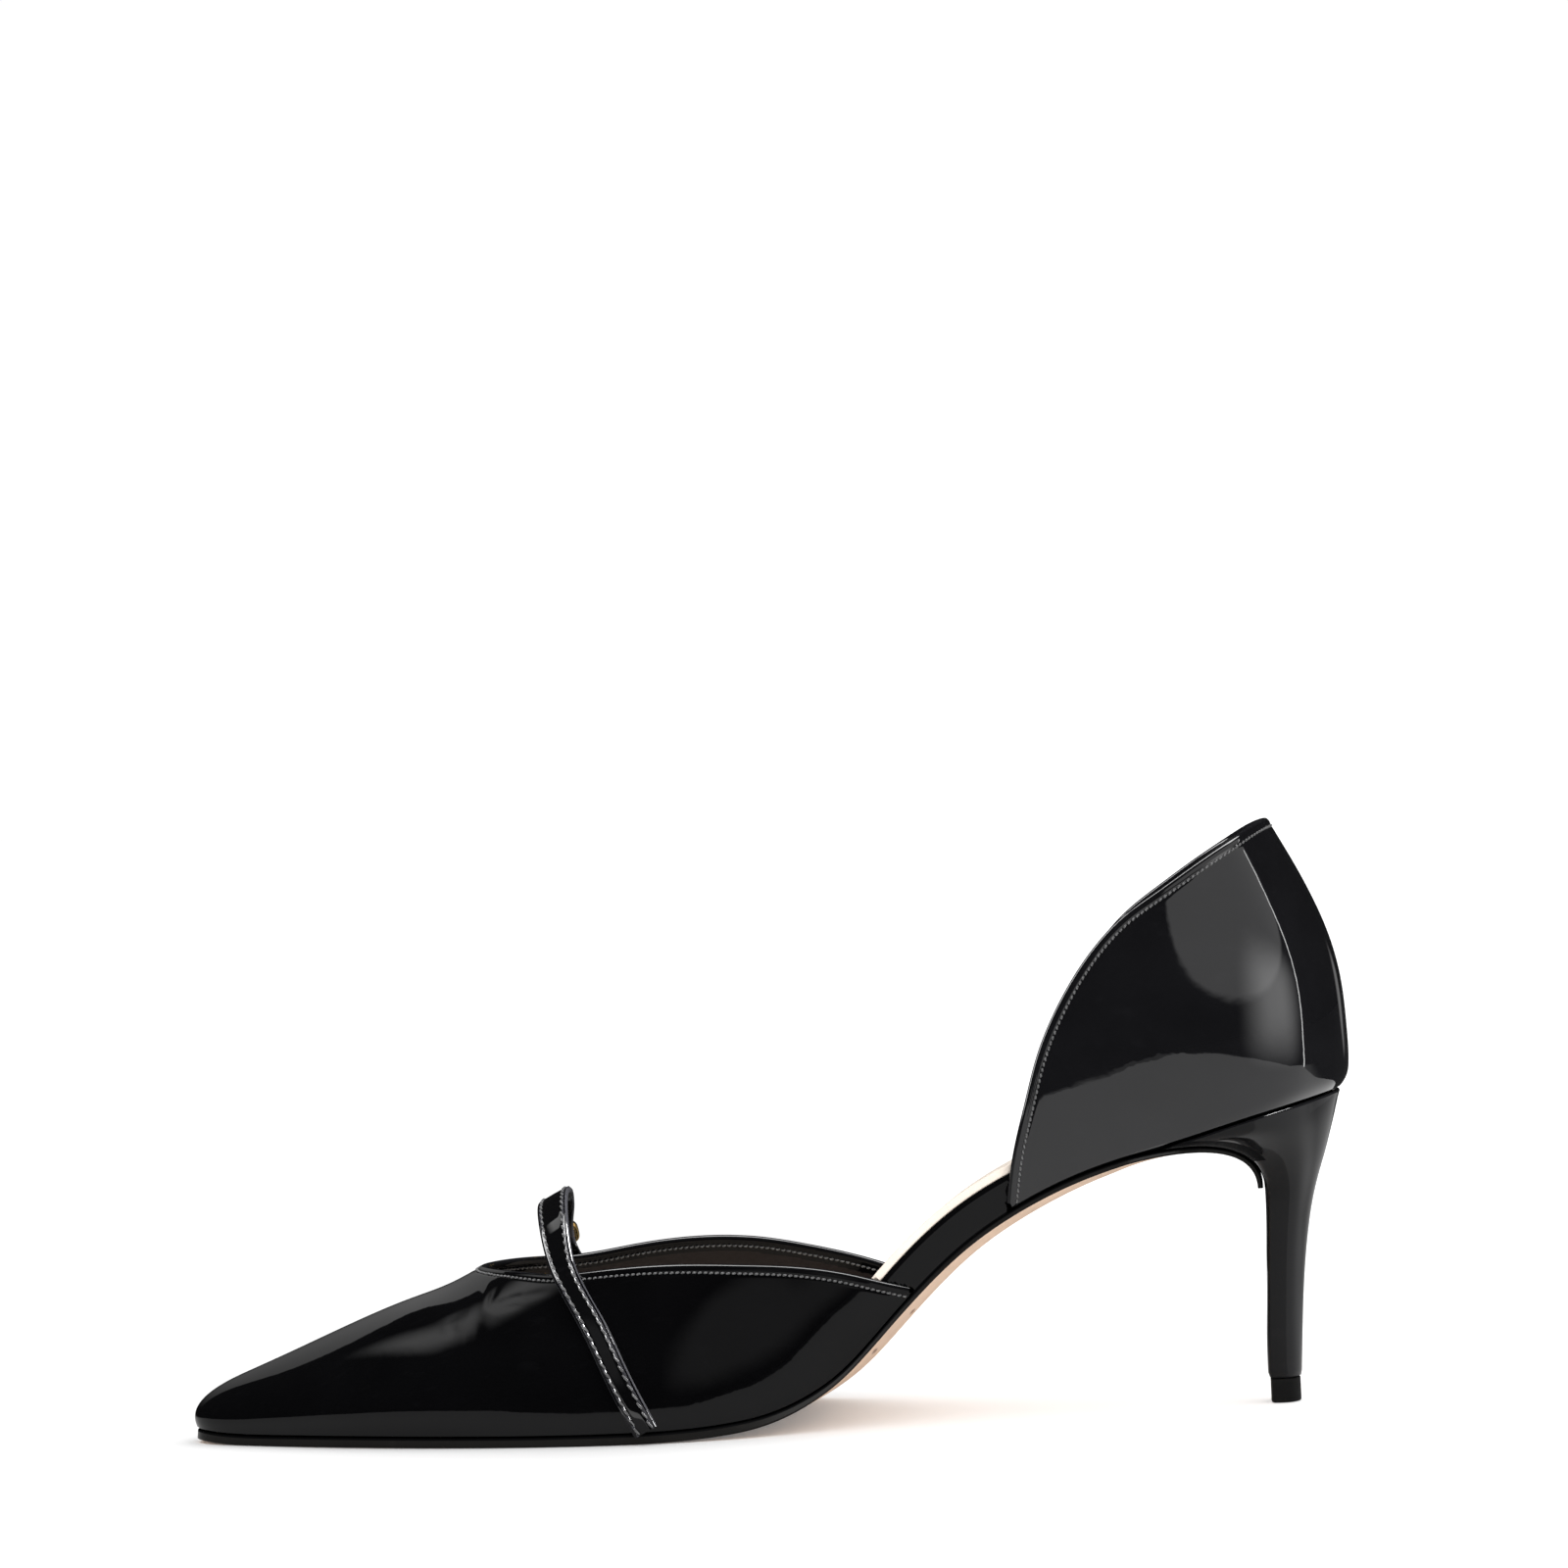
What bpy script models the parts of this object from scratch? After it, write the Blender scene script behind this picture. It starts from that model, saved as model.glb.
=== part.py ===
"""Pointed pump with a cut-away waist, a slim covered heel and a buckled instep strap.

It is a right shoe. The toe points to -X, the inner side is -Y, the outer side is +Y and the floor is Z = 0.
Sizes are in millimetres and become metres when a mesh is made. All shapes hang on one last: a feather line
(where the upper meets the sole), a ridge line over the foot, and cross sections between the two.
"""
from collections import namedtuple

import bmesh
import bpy
import numpy as np
from mathutils import Vector

MM = 0.001

# Driving sizes
GAP = 0.3
UPPER_WALL = 1.5
FEATHER_TOE = -120.2
FEATHER_BACK = 120.7
TOE_SWING = -2.0
BACK_SWING = 0.1
TOE_FAN = 11.0
SOLE_EDGE_FRONT = 2.0
SOLE_EDGE_WAIST = 1.1
SOLE_DOME = 1.7
SOCK_THICKNESS = 1.5
SOCK_INSET = 0.5
THROAT_X = -59.0
WING_END_INNER = 31.2
WING_END_OUTER = 30.8
QUARTER_FRONT = 52.7
FLAP_START = 76.0
FLAP_END_X = 104.1
FLAP_END_Z = 44.5
FLAP_END_HALF = 5.6
LIP_FRONT = 82.5
TOP_PIECE_HEIGHT = 5.0
TOP_PIECE_INSET = 0.2
STRAP_THICKNESS = 1.4
TAB_THICKNESS = 1.2
BUCKLE_LENGTH = 7.0
BUCKLE_WIDTH = 8.2
BUCKLE_WIRE = 1.3
WAIST_TWIST = 0.05
FRAME_SHIFT = (-1.102, -2.064, 0.0)

# Feather line from above: half widths to each side of the axis at a station along the shoe
Outline = namedtuple("Outline", "station inner outer")
OUTLINE = (
    Outline(-116.0, 8.6, 5.0),
    Outline(-108.0, 12.6, 9.8),
    Outline(-95.0, 18.3, 16.7),
    Outline(-78.0, 24.3, 24.1),
    Outline(-60.0, 29.0, 30.2),
    Outline(-42.0, 32.0, 34.8),
    Outline(-25.0, 32.8, 37.4),
    Outline(-8.0, 30.6, 36.8),
    Outline(10.0, 25.2, 32.0),
    Outline(28.0, 20.0, 26.4),
    Outline(45.0, 17.6, 22.6),
    Outline(60.0, 18.4, 21.4),
    Outline(78.0, 21.2, 22.4),
    Outline(95.0, 23.4, 23.6),
    Outline(108.0, 20.7, 20.9),
    Outline(116.0, 12.9, 13.1),
)

# Feather line from the side: toe spring, flat tread, arch and heel seat
Level = namedtuple("Level", "station height")
FEATHER_LEVEL = (
    Level(-120.2, 3.1),
    Level(-112.0, 2.4),
    Level(-100.0, 2.3),
    Level(-60.0, 2.3),
    Level(-30.0, 2.3),
    Level(-15.0, 2.6),
    Level(-5.0, 3.4),
    Level(3.0, 4.8),
    Level(10.0, 7.3),
    Level(17.3, 11.8),
    Level(25.5, 19.7),
    Level(33.8, 28.1),
    Level(42.1, 35.4),
    Level(54.4, 43.3),
    Level(66.7, 49.2),
    Level(78.8, 53.5),
    Level(91.0, 57.2),
    Level(105.0, 61.1),
    Level(120.7, 64.4),
)

# Ridge of the last, over the vamp and on up the instep
Ridge = namedtuple("Ridge", "station height offset")
RIDGE = (
    Ridge(-110.0, 13.9, -1.6),
    Ridge(-100.0, 17.9, -1.2),
    Ridge(-85.0, 24.1, -0.6),
    Ridge(-74.0, 28.1, -0.2),
    Ridge(-66.0, 30.8, 0.2),
    Ridge(-59.0, 34.2, 0.6),
    Ridge(-50.0, 39.2, 1.0),
    Ridge(-42.0, 43.4, 1.3),
    Ridge(-15.0, 57.8, 2.0),
    Ridge(35.0, 85.0, 2.4),
)

# Shape of the cross sections: lean of the wall at the feather, and how far each end pulls the curve
Section = namedtuple("Section", "station lean_deg rise crown")
SECTION = (
    Section(-110.0, 24.0, 0.50, 0.60),
    Section(-85.0, 24.0, 0.49, 0.58),
    Section(-64.0, 17.0, 0.48, 0.565),
    Section(-50.0, 7.5, 0.48, 0.55),
    Section(-34.0, 2.5, 0.48, 0.53),
    Section(-10.0, 1.5, 0.47, 0.495),
    Section(6.0, 4.0, 0.455, 0.475),
    Section(15.0, 9.0, 0.445, 0.465),
    Section(35.0, 9.0, 0.42, 0.44),
)

# Topline of the vamp from the side, one height for each side of the shoe
Topline = namedtuple("Topline", "station inner outer")
TOPLINE = (
    Topline(-59.0, 34.2, 34.2),
    Topline(-50.0, 34.0, 33.8),
    Topline(-42.0, 33.6, 33.4),
    Topline(-30.0, 34.4, 34.6),
    Topline(-15.0, 34.9, 35.5),
    Topline(-5.0, 34.4, 34.9),
    Topline(8.0, 33.0, 32.8),
    Topline(20.0, 30.2, 30.2),
    Topline(26.0, 28.2, 28.4),
    Topline(31.4, 26.6, 26.6),
)

# Collar of the quarter from the side
COLLAR = (
    Level(52.7, 43.5),
    Level(54.2, 52.6),
    Level(57.4, 64.6),
    Level(60.0, 73.3),
    Level(64.5, 83.3),
    Level(68.8, 90.4),
    Level(73.0, 95.9),
    Level(79.0, 101.8),
    Level(85.2, 106.1),
    Level(93.3, 111.4),
    Level(101.5, 116.4),
    Level(105.7, 118.8),
    Level(109.0, 120.0),
    Level(114.0, 120.2),
)

# Heel cup: how far the wall stands out from the feather line at a height, at its side and at its back
Cup = namedtuple("Cup", "height side back")
CUP = (
    Cup(0.0, 0.0, 0.0),
    Cup(2.0, 1.0, 1.4),
    Cup(5.0, 1.9, 2.1),
    Cup(11.0, 2.7, 2.1),
    Cup(18.0, 2.8, 1.7),
    Cup(26.0, 2.3, 0.6),
    Cup(34.0, 1.2, -1.7),
    Cup(42.0, -0.4, -5.1),
    Cup(50.0, -2.3, -9.2),
    Cup(58.0, -4.4, -13.6),
    Cup(66.0, -6.6, -18.0),
)
CUP_MIDDLE = 75.0
CUP_HALF = 23.5

# Thickness of the covered board, square to its bottom
Board = namedtuple("Board", "station thickness")
BOARD = (
    Board(-120.0, 2.4),
    Board(-40.0, 2.4),
    Board(0.0, 3.4),
    Board(22.0, 6.0),
    Board(40.0, 6.7),
    Board(56.0, 6.5),
    Board(75.0, 4.8),
    Board(95.0, 3.6),
    Board(120.0, 3.4),
)

# Heel rings along the breast under the sole flap, then rings down the stem
Breast = namedtuple("Breast", "along back_x back_z half_width")
BREAST = (
    Breast(0.30, 118.9, 62.6, 22.8),
    Breast(0.50, 118.4, 59.0, 19.8),
    Breast(0.68, 117.6, 54.8, 16.2),
    Breast(0.82, 116.6, 50.8, 13.2),
    Breast(0.92, 115.7, 47.8, 11.2),
    Breast(1.00, 114.7, 44.2, 9.6),
)
Stem = namedtuple("Stem", "height front back half_width")
STEM = (
    Stem(37.0, 104.4, 113.3, 7.8),
    Stem(29.5, 104.1, 112.2, 6.5),
    Stem(21.5, 103.8, 111.4, 5.6),
    Stem(13.0, 103.4, 110.8, 4.9),
    Stem(6.3, 103.3, 110.4, 4.5),
    Stem(5.3, 103.6, 110.2, 4.2),
)

# Strap: where its middle lies on the last at a height, on each side, and its width
Route = namedtuple("Route", "height inner outer width")
ROUTE = (
    Route(3.2, -22.8, -29.5, 5.0),
    Route(15.5, -28.8, -36.0, 5.0),
    Route(24.2, -33.0, -39.8, 5.0),
    Route(33.0, -38.4, -43.4, 5.1),
    Route(38.0, -40.8, -43.6, 5.8),
    Route(43.0, -42.6, -42.6, 6.5),
)
STRAP_TAIL_HEIGHT = 19.0
TAB_TOP_HEIGHT = 34.4
BUCKLE_HEIGHT = 35.0
APEX_LIFT = 3.8
APEX_FOOT = 33.6

Finish = namedtuple("Finish", "colour roughness metallic")
PATENT = Finish((0.012, 0.012, 0.013), 0.08, 0.0)
SOLE_LEATHER = Finish((0.62, 0.42, 0.30), 0.55, 0.0)
SOCK_LEATHER = Finish((0.76, 0.63, 0.51), 0.6, 0.0)
RUBBER = Finish((0.02, 0.02, 0.02), 0.6, 0.0)
GOLD = Finish((0.83, 0.62, 0.26), 0.2, 1.0)


def column(rows, name):
    """One named column of a table as an array."""
    return np.array([getattr(row, name) for row in rows])


def spline(knots, values, period=None):
    """Smooth curve through the knots: natural at its ends, or closed when a period is given."""
    knots = np.asarray(knots, float)
    values = np.asarray(values, float)
    if period is not None:
        knots = np.concatenate([knots[-3:] - period, knots, knots[:3] + period])
        values = np.concatenate([values[-3:], values, values[:3]])
    step = np.diff(knots)
    slope = np.diff(values) / step
    count = len(knots)
    matrix = np.eye(count)
    right = np.zeros(count)
    inner = np.arange(1, count - 1)
    matrix[inner, inner - 1] = step[:-1]
    matrix[inner, inner] = 2 * (step[:-1] + step[1:])
    matrix[inner, inner + 1] = step[1:]
    right[inner] = 6 * np.diff(slope)
    bend = np.linalg.solve(matrix, right)

    def curve(at):
        at = np.asarray(at, float)
        if period is not None:
            at = (at - knots[3]) % period + knots[3]
        low = np.clip(np.searchsorted(knots, at) - 1, 0, count - 2)
        width = step[low]
        far = (at - knots[low]) / width
        near = 1 - far
        return (near * values[low] + far * values[low + 1]
                + width ** 2 / 6 * ((near ** 3 - near) * bend[low] + (far ** 3 - far) * bend[low + 1]))
    return curve


def table_curve(rows, name):
    """A column of a table as a smooth function of the station."""
    return spline(column(rows, "station"), column(rows, name))


def smooth_step(low, high, at):
    """Ease from 0 to 1 between two places."""
    part = np.clip((np.asarray(at, float) - low) / (high - low), 0.0, 1.0)
    return part * part * (3 - 2 * part)


# The last
OUTLINE_MIDDLE = (FEATHER_TOE + FEATHER_BACK) / 2
OUTLINE_HALF = (FEATHER_BACK - FEATHER_TOE) / 2


def turn_at(x):
    """Place on the feather line from 0 at the toe to 1 at the heel, for a station."""
    return np.arccos(np.clip((OUTLINE_MIDDLE - np.asarray(x, float)) / OUTLINE_HALF, -1, 1)) / np.pi


def outline_curve():
    """Side swing of the feather line over a full turn: negative turns are the inner side."""
    turn = turn_at(column(OUTLINE, "station"))
    knots = np.concatenate([-turn[::-1], [0.0], turn, [1.0]])
    inner = -column(OUTLINE, "inner")[::-1]
    outer = column(OUTLINE, "outer")
    swing = np.concatenate([inner, [TOE_SWING], outer, [BACK_SWING]])
    return spline(knots, swing, period=2.0)


outline_swing = outline_curve()
feather_height = table_curve(FEATHER_LEVEL, "height")
ridge_height = table_curve(RIDGE, "height")
ridge_offset = table_curve(RIDGE, "offset")
section_lean = table_curve(SECTION, "lean_deg")
section_rise = table_curve(SECTION, "rise")
section_crown = table_curve(SECTION, "crown")
board_thickness = table_curve(BOARD, "thickness")
RIDGE_AT_STRAP = float(ridge_height(ROUTE[-1].inner))


def feather(turn):
    """Point of the feather line at a turn."""
    x = OUTLINE_MIDDLE - OUTLINE_HALF * np.cos(np.pi * np.asarray(turn, float))
    return np.stack([x, outline_swing(turn), feather_height(x)], axis=-1)


def edge_inner(x):
    """Y of the inner edge at a station."""
    return outline_swing(-turn_at(x))


def edge_outer(x):
    """Y of the outer edge at a station."""
    return outline_swing(turn_at(x))


def last_point(turn, climb):
    """Point of the last: climb 0 is the feather line, 1 the ridge, along a cubic section between them."""
    turn, climb = np.broadcast_arrays(np.asarray(turn, float), np.asarray(climb, float))
    foot = feather(turn)
    spine_x = FEATHER_TOE + np.hypot(foot[..., 0] - FEATHER_TOE, TOE_FAN)
    crest = np.stack([spine_x, ridge_offset(spine_x), ridge_height(spine_x)], axis=-1)
    out = foot[..., :2] - crest[..., :2]
    width = np.linalg.norm(out, axis=-1, keepdims=True)
    out = out / width
    tall = (crest[..., 2] - foot[..., 2])[..., None]
    lean = np.radians(section_lean(spine_x))[..., None]
    slope = ((ridge_height(spine_x + 0.5) - ridge_height(spine_x - 0.5)) * out[..., 0])[..., None]
    wall = np.concatenate([np.sin(lean) * out, np.cos(lean)], axis=-1)
    roof = np.concatenate([out, slope], axis=-1)
    first = foot + section_rise(spine_x)[..., None] * tall * wall
    second = crest + section_crown(spine_x)[..., None] * width * roof
    t = climb[..., None]
    s = 1 - t
    return s ** 3 * foot + 3 * s ** 2 * t * first + 3 * s * t ** 2 * second + t ** 3 * crest


def last_normal(turn, climb):
    """Outward normal of the last."""
    small = 0.001
    along = last_point(turn + small, climb) - last_point(turn - small, climb)
    up = last_point(turn, climb + small) - last_point(turn, climb - small)
    normal = np.cross(up, along)
    return normal / np.linalg.norm(normal, axis=-1, keepdims=True)


def topline_climb(turns):
    """How high the vamp reaches on each section: to the ridge before the throat, then to the topline."""
    climb = np.linspace(0, 1, 401)
    tops = []
    for turn in turns:
        points = last_point(np.full_like(climb, turn), climb)
        topline = table_curve(TOPLINE, "inner" if turn < 0 else "outer")
        tops.append(np.interp(0.0, points[:, 2] - topline(points[:, 0]), climb))
    return np.array(tops)


# Mesh helpers
def grid_faces(rows, columns, closed=False):
    """Quads of a grid of points, row by row; a closed grid joins its last column to its first."""
    r, c = np.meshgrid(np.arange(rows - 1), np.arange(columns if closed else columns - 1), indexing="ij")
    after = (c + 1) % columns
    corners = [r * columns + c, r * columns + after, (r + 1) * columns + after, (r + 1) * columns + c]
    return np.stack(corners, axis=-1).reshape(-1, 4)


def finish_material(name, finish):
    """Principled material of one piece."""
    material = bpy.data.materials.new(name)
    material.use_nodes = True
    shader = material.node_tree.nodes["Principled BSDF"]
    shader.inputs["Base Color"].default_value = (*finish.colour, 1.0)
    shader.inputs["Roughness"].default_value = finish.roughness
    shader.inputs["Metallic"].default_value = finish.metallic
    return material


def twisted(points):
    """Points with the outer side of the waist let down and its inner side raised, as on a last."""
    points = np.array(points, float)
    waist = smooth_step(-5, 32, points[:, 0]) * (1 - smooth_step(52, 92, points[:, 0]))
    points[:, 2] -= WAIST_TWIST * waist * points[:, 1]
    return points


def add_piece(name, points, faces, finish, frame, collection):
    """Mesh object from points in millimetres, with doubles merged and faces turned outward."""
    mesh = bpy.data.meshes.new(name)
    mesh.from_pydata((twisted(points) * MM).tolist(), [], [list(map(int, face)) for face in faces])
    work = bmesh.new()
    work.from_mesh(mesh)
    bmesh.ops.remove_doubles(work, verts=work.verts, dist=0.00002)
    bmesh.ops.dissolve_degenerate(work, edges=work.edges, dist=0.00002)
    bmesh.ops.recalc_face_normals(work, faces=work.faces)
    work.to_mesh(mesh)
    work.free()
    mesh.materials.append(finish_material(name, finish))
    piece = bpy.data.objects.new(name, mesh)
    piece.parent = frame
    collection.objects.link(piece)
    return piece


def add_loft(name, rings, finish, frame, collection):
    """Closed solid through rings of points, with a flat cap at each end."""
    rings = np.asarray(rings)
    count, around = rings.shape[:2]
    faces = grid_faces(count, around, closed=True).tolist()
    faces.append(list(range(around))[::-1])
    faces.append(list(range((count - 1) * around, count * around)))
    return add_piece(name, rings.reshape(-1, 3), faces, finish, frame, collection)


def add_wall(piece, inside, thickness):
    """Turn a one-sided upper away from a point inside it, and give it its wall inward."""
    work = bmesh.new()
    work.from_mesh(piece.data)
    away = sum(face.normal.dot(face.calc_center_median() - Vector(inside) * MM) for face in work.faces)
    if away < 0:
        bmesh.ops.reverse_faces(work, faces=work.faces)
    work.to_mesh(piece.data)
    work.free()
    wall = piece.modifiers.new("wall", "SOLIDIFY")
    wall.thickness = thickness * MM
    wall.offset = -1.0
    wall.use_even_offset = True
    wall.use_rim = True


# Upper
def build_vamp(frame, collection):
    """Hollow front of the upper: toe to throat as full sections, then two wings along the topline."""
    throat = turn_at(FEATHER_TOE + np.sqrt((THROAT_X - FEATHER_TOE) ** 2 - TOE_FAN ** 2))
    rows = 12
    front = np.linspace(0, throat, 13)
    points = []
    faces = []
    for side, end in ((-1, WING_END_INNER), (1, WING_END_OUTER)):
        wing = throat + (turn_at(end) - throat) * np.linspace(0, 1, 19)[1:] ** 1.5
        turns = np.concatenate([front, wing])
        top = np.where(turns <= throat + 1e-9, 1.0, topline_climb(side * turns))
        climb = top[:, None] * np.linspace(0, 1, rows + 1)[None, :]
        start = len(points) * len(turns) * (rows + 1)
        points.append(last_point(side * turns[:, None], climb).reshape(-1, 3))
        faces.append(grid_faces(len(turns), rows + 1)[:, ::side] + start)
    points = np.concatenate(points)
    piece = add_piece("upper_vamp", points, np.concatenate(faces), PATENT, frame, collection)
    add_wall(piece, (-60.0, 0.0, 10.0), UPPER_WALL)


def collar_height():
    """Collar height as a function of the station, from a smooth curve through its table."""
    x = column(COLLAR, "station")
    z = column(COLLAR, "height")
    length = np.concatenate([[0], np.cumsum(np.hypot(np.diff(x), np.diff(z)))])
    fine = np.linspace(0, length[-1], 600)
    fine_x = spline(length, x)(fine)
    fine_z = spline(length, z)(fine)
    return lambda at: np.interp(at, fine_x, fine_z)


def cup_point(turn, height):
    """Point of the heel cup at a height above the feather line: the outline scaled about its middle."""
    turn, height = np.broadcast_arrays(np.asarray(turn, float), np.asarray(height, float))
    foot = feather(turn)
    level = column(CUP, "height")
    longer = 1 + spline(level, column(CUP, "back"))(height) / (FEATHER_BACK - CUP_MIDDLE)
    wider = 1 + spline(level, column(CUP, "side"))(height) / CUP_HALF
    x = CUP_MIDDLE + (foot[..., 0] - CUP_MIDDLE) * longer
    return np.stack([x, foot[..., 1] * wider, foot[..., 2] + height], axis=-1)


def cup_top(turns):
    """Height of the collar above the feather line on each column of the cup."""
    collar = collar_height()
    height = np.linspace(0, 66, 661)
    tops = []
    for turn in turns:
        points = cup_point(np.full_like(height, turn), height)
        over = points[:, 2] - collar(points[:, 0])
        tops.append(height[np.argmax(over > 0)])
    return np.array(tops)


def build_quarter(frame, collection):
    """Hollow heel cup, from its outer front edge round the back to the inner one."""
    rows = 10
    front = turn_at(QUARTER_FRONT + 0.4)
    side = front + (turn_at(96.0) - front) * np.linspace(0, 1, 14) ** 1.6
    half = np.concatenate([side, np.linspace(turn_at(96.0), 1.0, 9)[1:]])
    turns = np.concatenate([half, 2 - half[-2::-1]])
    height = cup_top(turns)[:, None] * np.linspace(0, 1, rows + 1)[None, :]
    points = cup_point(turns[:, None], height).reshape(-1, 3)
    faces = grid_faces(len(turns), rows + 1)
    piece = add_piece("upper_quarter", points, faces, PATENT, frame, collection)
    add_wall(piece, (90.0, 0.0, 80.0), UPPER_WALL)


# Bottom
def bottom_stations(last_station):
    """Stations along the bottom: close at the toe, over the arch and at the steps of the board."""
    toe = FEATHER_TOE + 0.35 + (-100 - FEATHER_TOE) * np.linspace(0, 1, 8) ** 2
    tread = np.linspace(-100, -15, 9)[1:]
    arch = np.linspace(-15, 60, 22)[1:]
    seat = np.linspace(60, last_station, 6)[1:]
    return np.concatenate([toe, tread, arch, seat])


def bottom_frame(x):
    """Point of the bottom line and the unit normal above it, in the side view."""
    z = feather_height(x)
    slope = feather_height(x + 0.25) - feather_height(x - 0.25)
    normal = np.stack([-2 * slope, np.ones_like(x)], axis=-1)
    return z, normal / np.linalg.norm(normal, axis=-1, keepdims=True)


def flap_path(along):
    """Top line of the outsole behind the waist: it leaves the seat and turns down the heel breast."""
    start_z = float(feather_height(FLAP_START)) - GAP
    bend = (88.0, start_z + 3.5)
    turn = (FLAP_END_X - 0.3, 55.4)
    corner = np.array([(FLAP_START, start_z), bend, turn, (FLAP_END_X, FLAP_END_Z)])
    t = np.asarray(along, float)[:, None]
    weights = np.concatenate([(1 - t) ** 3, 3 * (1 - t) ** 2 * t, 3 * (1 - t) * t ** 2, t ** 3], axis=1)
    tangent = (3 * (1 - t) ** 2 * (corner[1] - corner[0]) + 6 * (1 - t) * t * (corner[2] - corner[1])
               + 3 * t ** 2 * (corner[3] - corner[2]))
    tangent = tangent / np.linalg.norm(tangent, axis=1, keepdims=True)
    return weights @ corner, np.stack([-tangent[:, 1], tangent[:, 0]], axis=1)


def build_outsole(frame, collection):
    """Outsole: tread, domed waist and breast flap as one loft of strips."""
    x = bottom_stations(FLAP_START)
    z, normal = bottom_frame(x)
    top = np.stack([x, z - GAP], axis=1)
    inner = edge_inner(x)
    outer = edge_outer(x)
    along = np.concatenate([[0.12], column(BREAST, "along")])
    flap_top, flap_normal = flap_path(along)
    narrow = smooth_step(0.0, 1.0, along)
    inner_end = inner[-1] * (1 - narrow) - FLAP_END_HALF * narrow
    outer_end = outer[-1] * (1 - narrow) + FLAP_END_HALF * narrow
    top = np.concatenate([top, flap_top])
    normal = np.concatenate([normal, flap_normal])
    inner = np.concatenate([inner, inner_end])
    outer = np.concatenate([outer, outer_end])
    place = top[:, 0]
    waist = smooth_step(-5, 22, place)
    edge = SOLE_EDGE_FRONT + (SOLE_EDGE_WAIST - SOLE_EDGE_FRONT) * waist
    dome = SOLE_DOME * waist * (1 - smooth_step(70, 100, place))
    share = np.linspace(-1, 1, 9)
    middle = (inner + outer) / 2
    half = (outer - inner) / 2
    y = middle[:, None] + half[:, None] * share[None, :]
    across = np.ones_like(y)
    upper_row = np.stack([top[:, :1] * across, y, top[:, 1:] * across], axis=-1)
    depth = edge[:, None] + dome[:, None] * (1 - share[None, :] ** 2)
    lower_row = upper_row.copy()
    lower_row[..., 0] -= normal[:, :1] * depth
    lower_row[..., 2] -= normal[:, 1:] * depth
    tread = place < -18
    lower_row[tread, :, 2] = np.maximum(upper_row[tread, :, 2] - SOLE_EDGE_FRONT, 0.0)
    rings = np.concatenate([upper_row, lower_row[:, ::-1]], axis=1)
    add_loft("outsole", rings, SOLE_LEATHER, frame, collection)


def board_edges(x):
    """Inner and outer Y of the board: inside the upper, and out to the feather line at the open waist."""
    open_inner = smooth_step(WING_END_INNER + 0.6, WING_END_INNER + 2.0, x)
    open_outer = smooth_step(WING_END_OUTER + 0.6, WING_END_OUTER + 2.0, x)
    shut = 1 - smooth_step(QUARTER_FRONT - 2.0, QUARTER_FRONT - 0.6, x)
    inset = UPPER_WALL + 2 * GAP
    inner = edge_inner(x) + square_inset(edge_inner, x, inset) * (1 - open_inner * shut)
    outer = edge_outer(x) - square_inset(edge_outer, x, inset) * (1 - open_outer * shut)
    return inner, outer


def square_inset(edge, x, inset):
    """Inset along Y that keeps a distance square to a sloping edge."""
    slope = (edge(x + 0.2) - edge(x - 0.2)) / 0.4
    return inset * np.sqrt(1 + slope ** 2)


def slab_rings(x, low, high, edges):
    """Rings of a slab between two offsets square to the bottom line, with its own edge at every height."""
    z, normal = bottom_frame(x)
    share = np.linspace(-1, 1, 5)
    rows = []
    for offset in (low, high):
        place = x + normal[:, 0] * offset
        height = z + normal[:, 1] * offset
        inner, outer = edges(place)
        y = ((inner + outer) / 2)[:, None] + ((outer - inner) / 2)[:, None] * share[None, :]
        across = np.ones_like(y)
        rows.append(np.stack([place[:, None] * across, y, height[:, None] * across], axis=-1))
    return np.concatenate([rows[1], rows[0][:, ::-1]], axis=1)


def slab_stations():
    """Stations of the board and the sock, with a few more at the steps of the waist."""
    main = bottom_stations(FLAP_START)
    heel = FEATHER_BACK - 2.6 - (FEATHER_BACK - 2.6 - FLAP_START) * np.linspace(1, 0, 11)[1:] ** 1.7
    steps = [WING_END_INNER, WING_END_OUTER, QUARTER_FRONT - 2.6]
    extra = np.array([step + shift for step in steps for shift in (0.6, 2.0, 5.2, 6.6)])
    x = np.sort(np.concatenate([main[main > FEATHER_TOE + 2.6], heel, extra]))
    return x[np.concatenate([[True], np.diff(x) > 0.25])]


def build_board(frame, collection):
    """Covered insole board with its shank."""
    x = slab_stations()
    rings = slab_rings(x, np.zeros_like(x), board_thickness(x), board_edges)
    add_loft("insole_board", rings, PATENT, frame, collection)


def build_sock(frame, collection):
    """Thin sock lining on the board."""
    x = slab_stations()[1:-1]
    low = board_thickness(x) + GAP

    def edges(place):
        inner, outer = board_edges(place)
        return inner + SOCK_INSET, outer - SOCK_INSET
    rings = slab_rings(x, low, low + SOCK_THICKNESS, edges)
    add_loft("insole_sock", rings, SOCK_LEATHER, frame, collection)


# Heel
def seat_ring():
    """Outline of the heel seat from the middle of its front round the back, as share of length and Y."""
    corner = 6.0
    angle = np.linspace(0, np.pi / 2, 5)
    cap = corner * (1 - np.cos(angle) ** 0.5)
    spread = np.sin(angle) ** 0.5
    quarter_turn = np.linspace(0, np.pi / 2, 10)[1:]
    run = LIP_FRONT + corner + (FEATHER_BACK - LIP_FRONT - corner) * np.sin(quarter_turn)
    x = np.concatenate([LIP_FRONT + cap, run])
    factor = np.concatenate([spread, np.ones(len(run))])
    outer = np.stack([x, edge_outer(x) * factor], axis=1)
    inner = np.stack([x, edge_inner(x) * factor], axis=1)
    return np.concatenate([outer, inner[-2:0:-1]])


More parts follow.
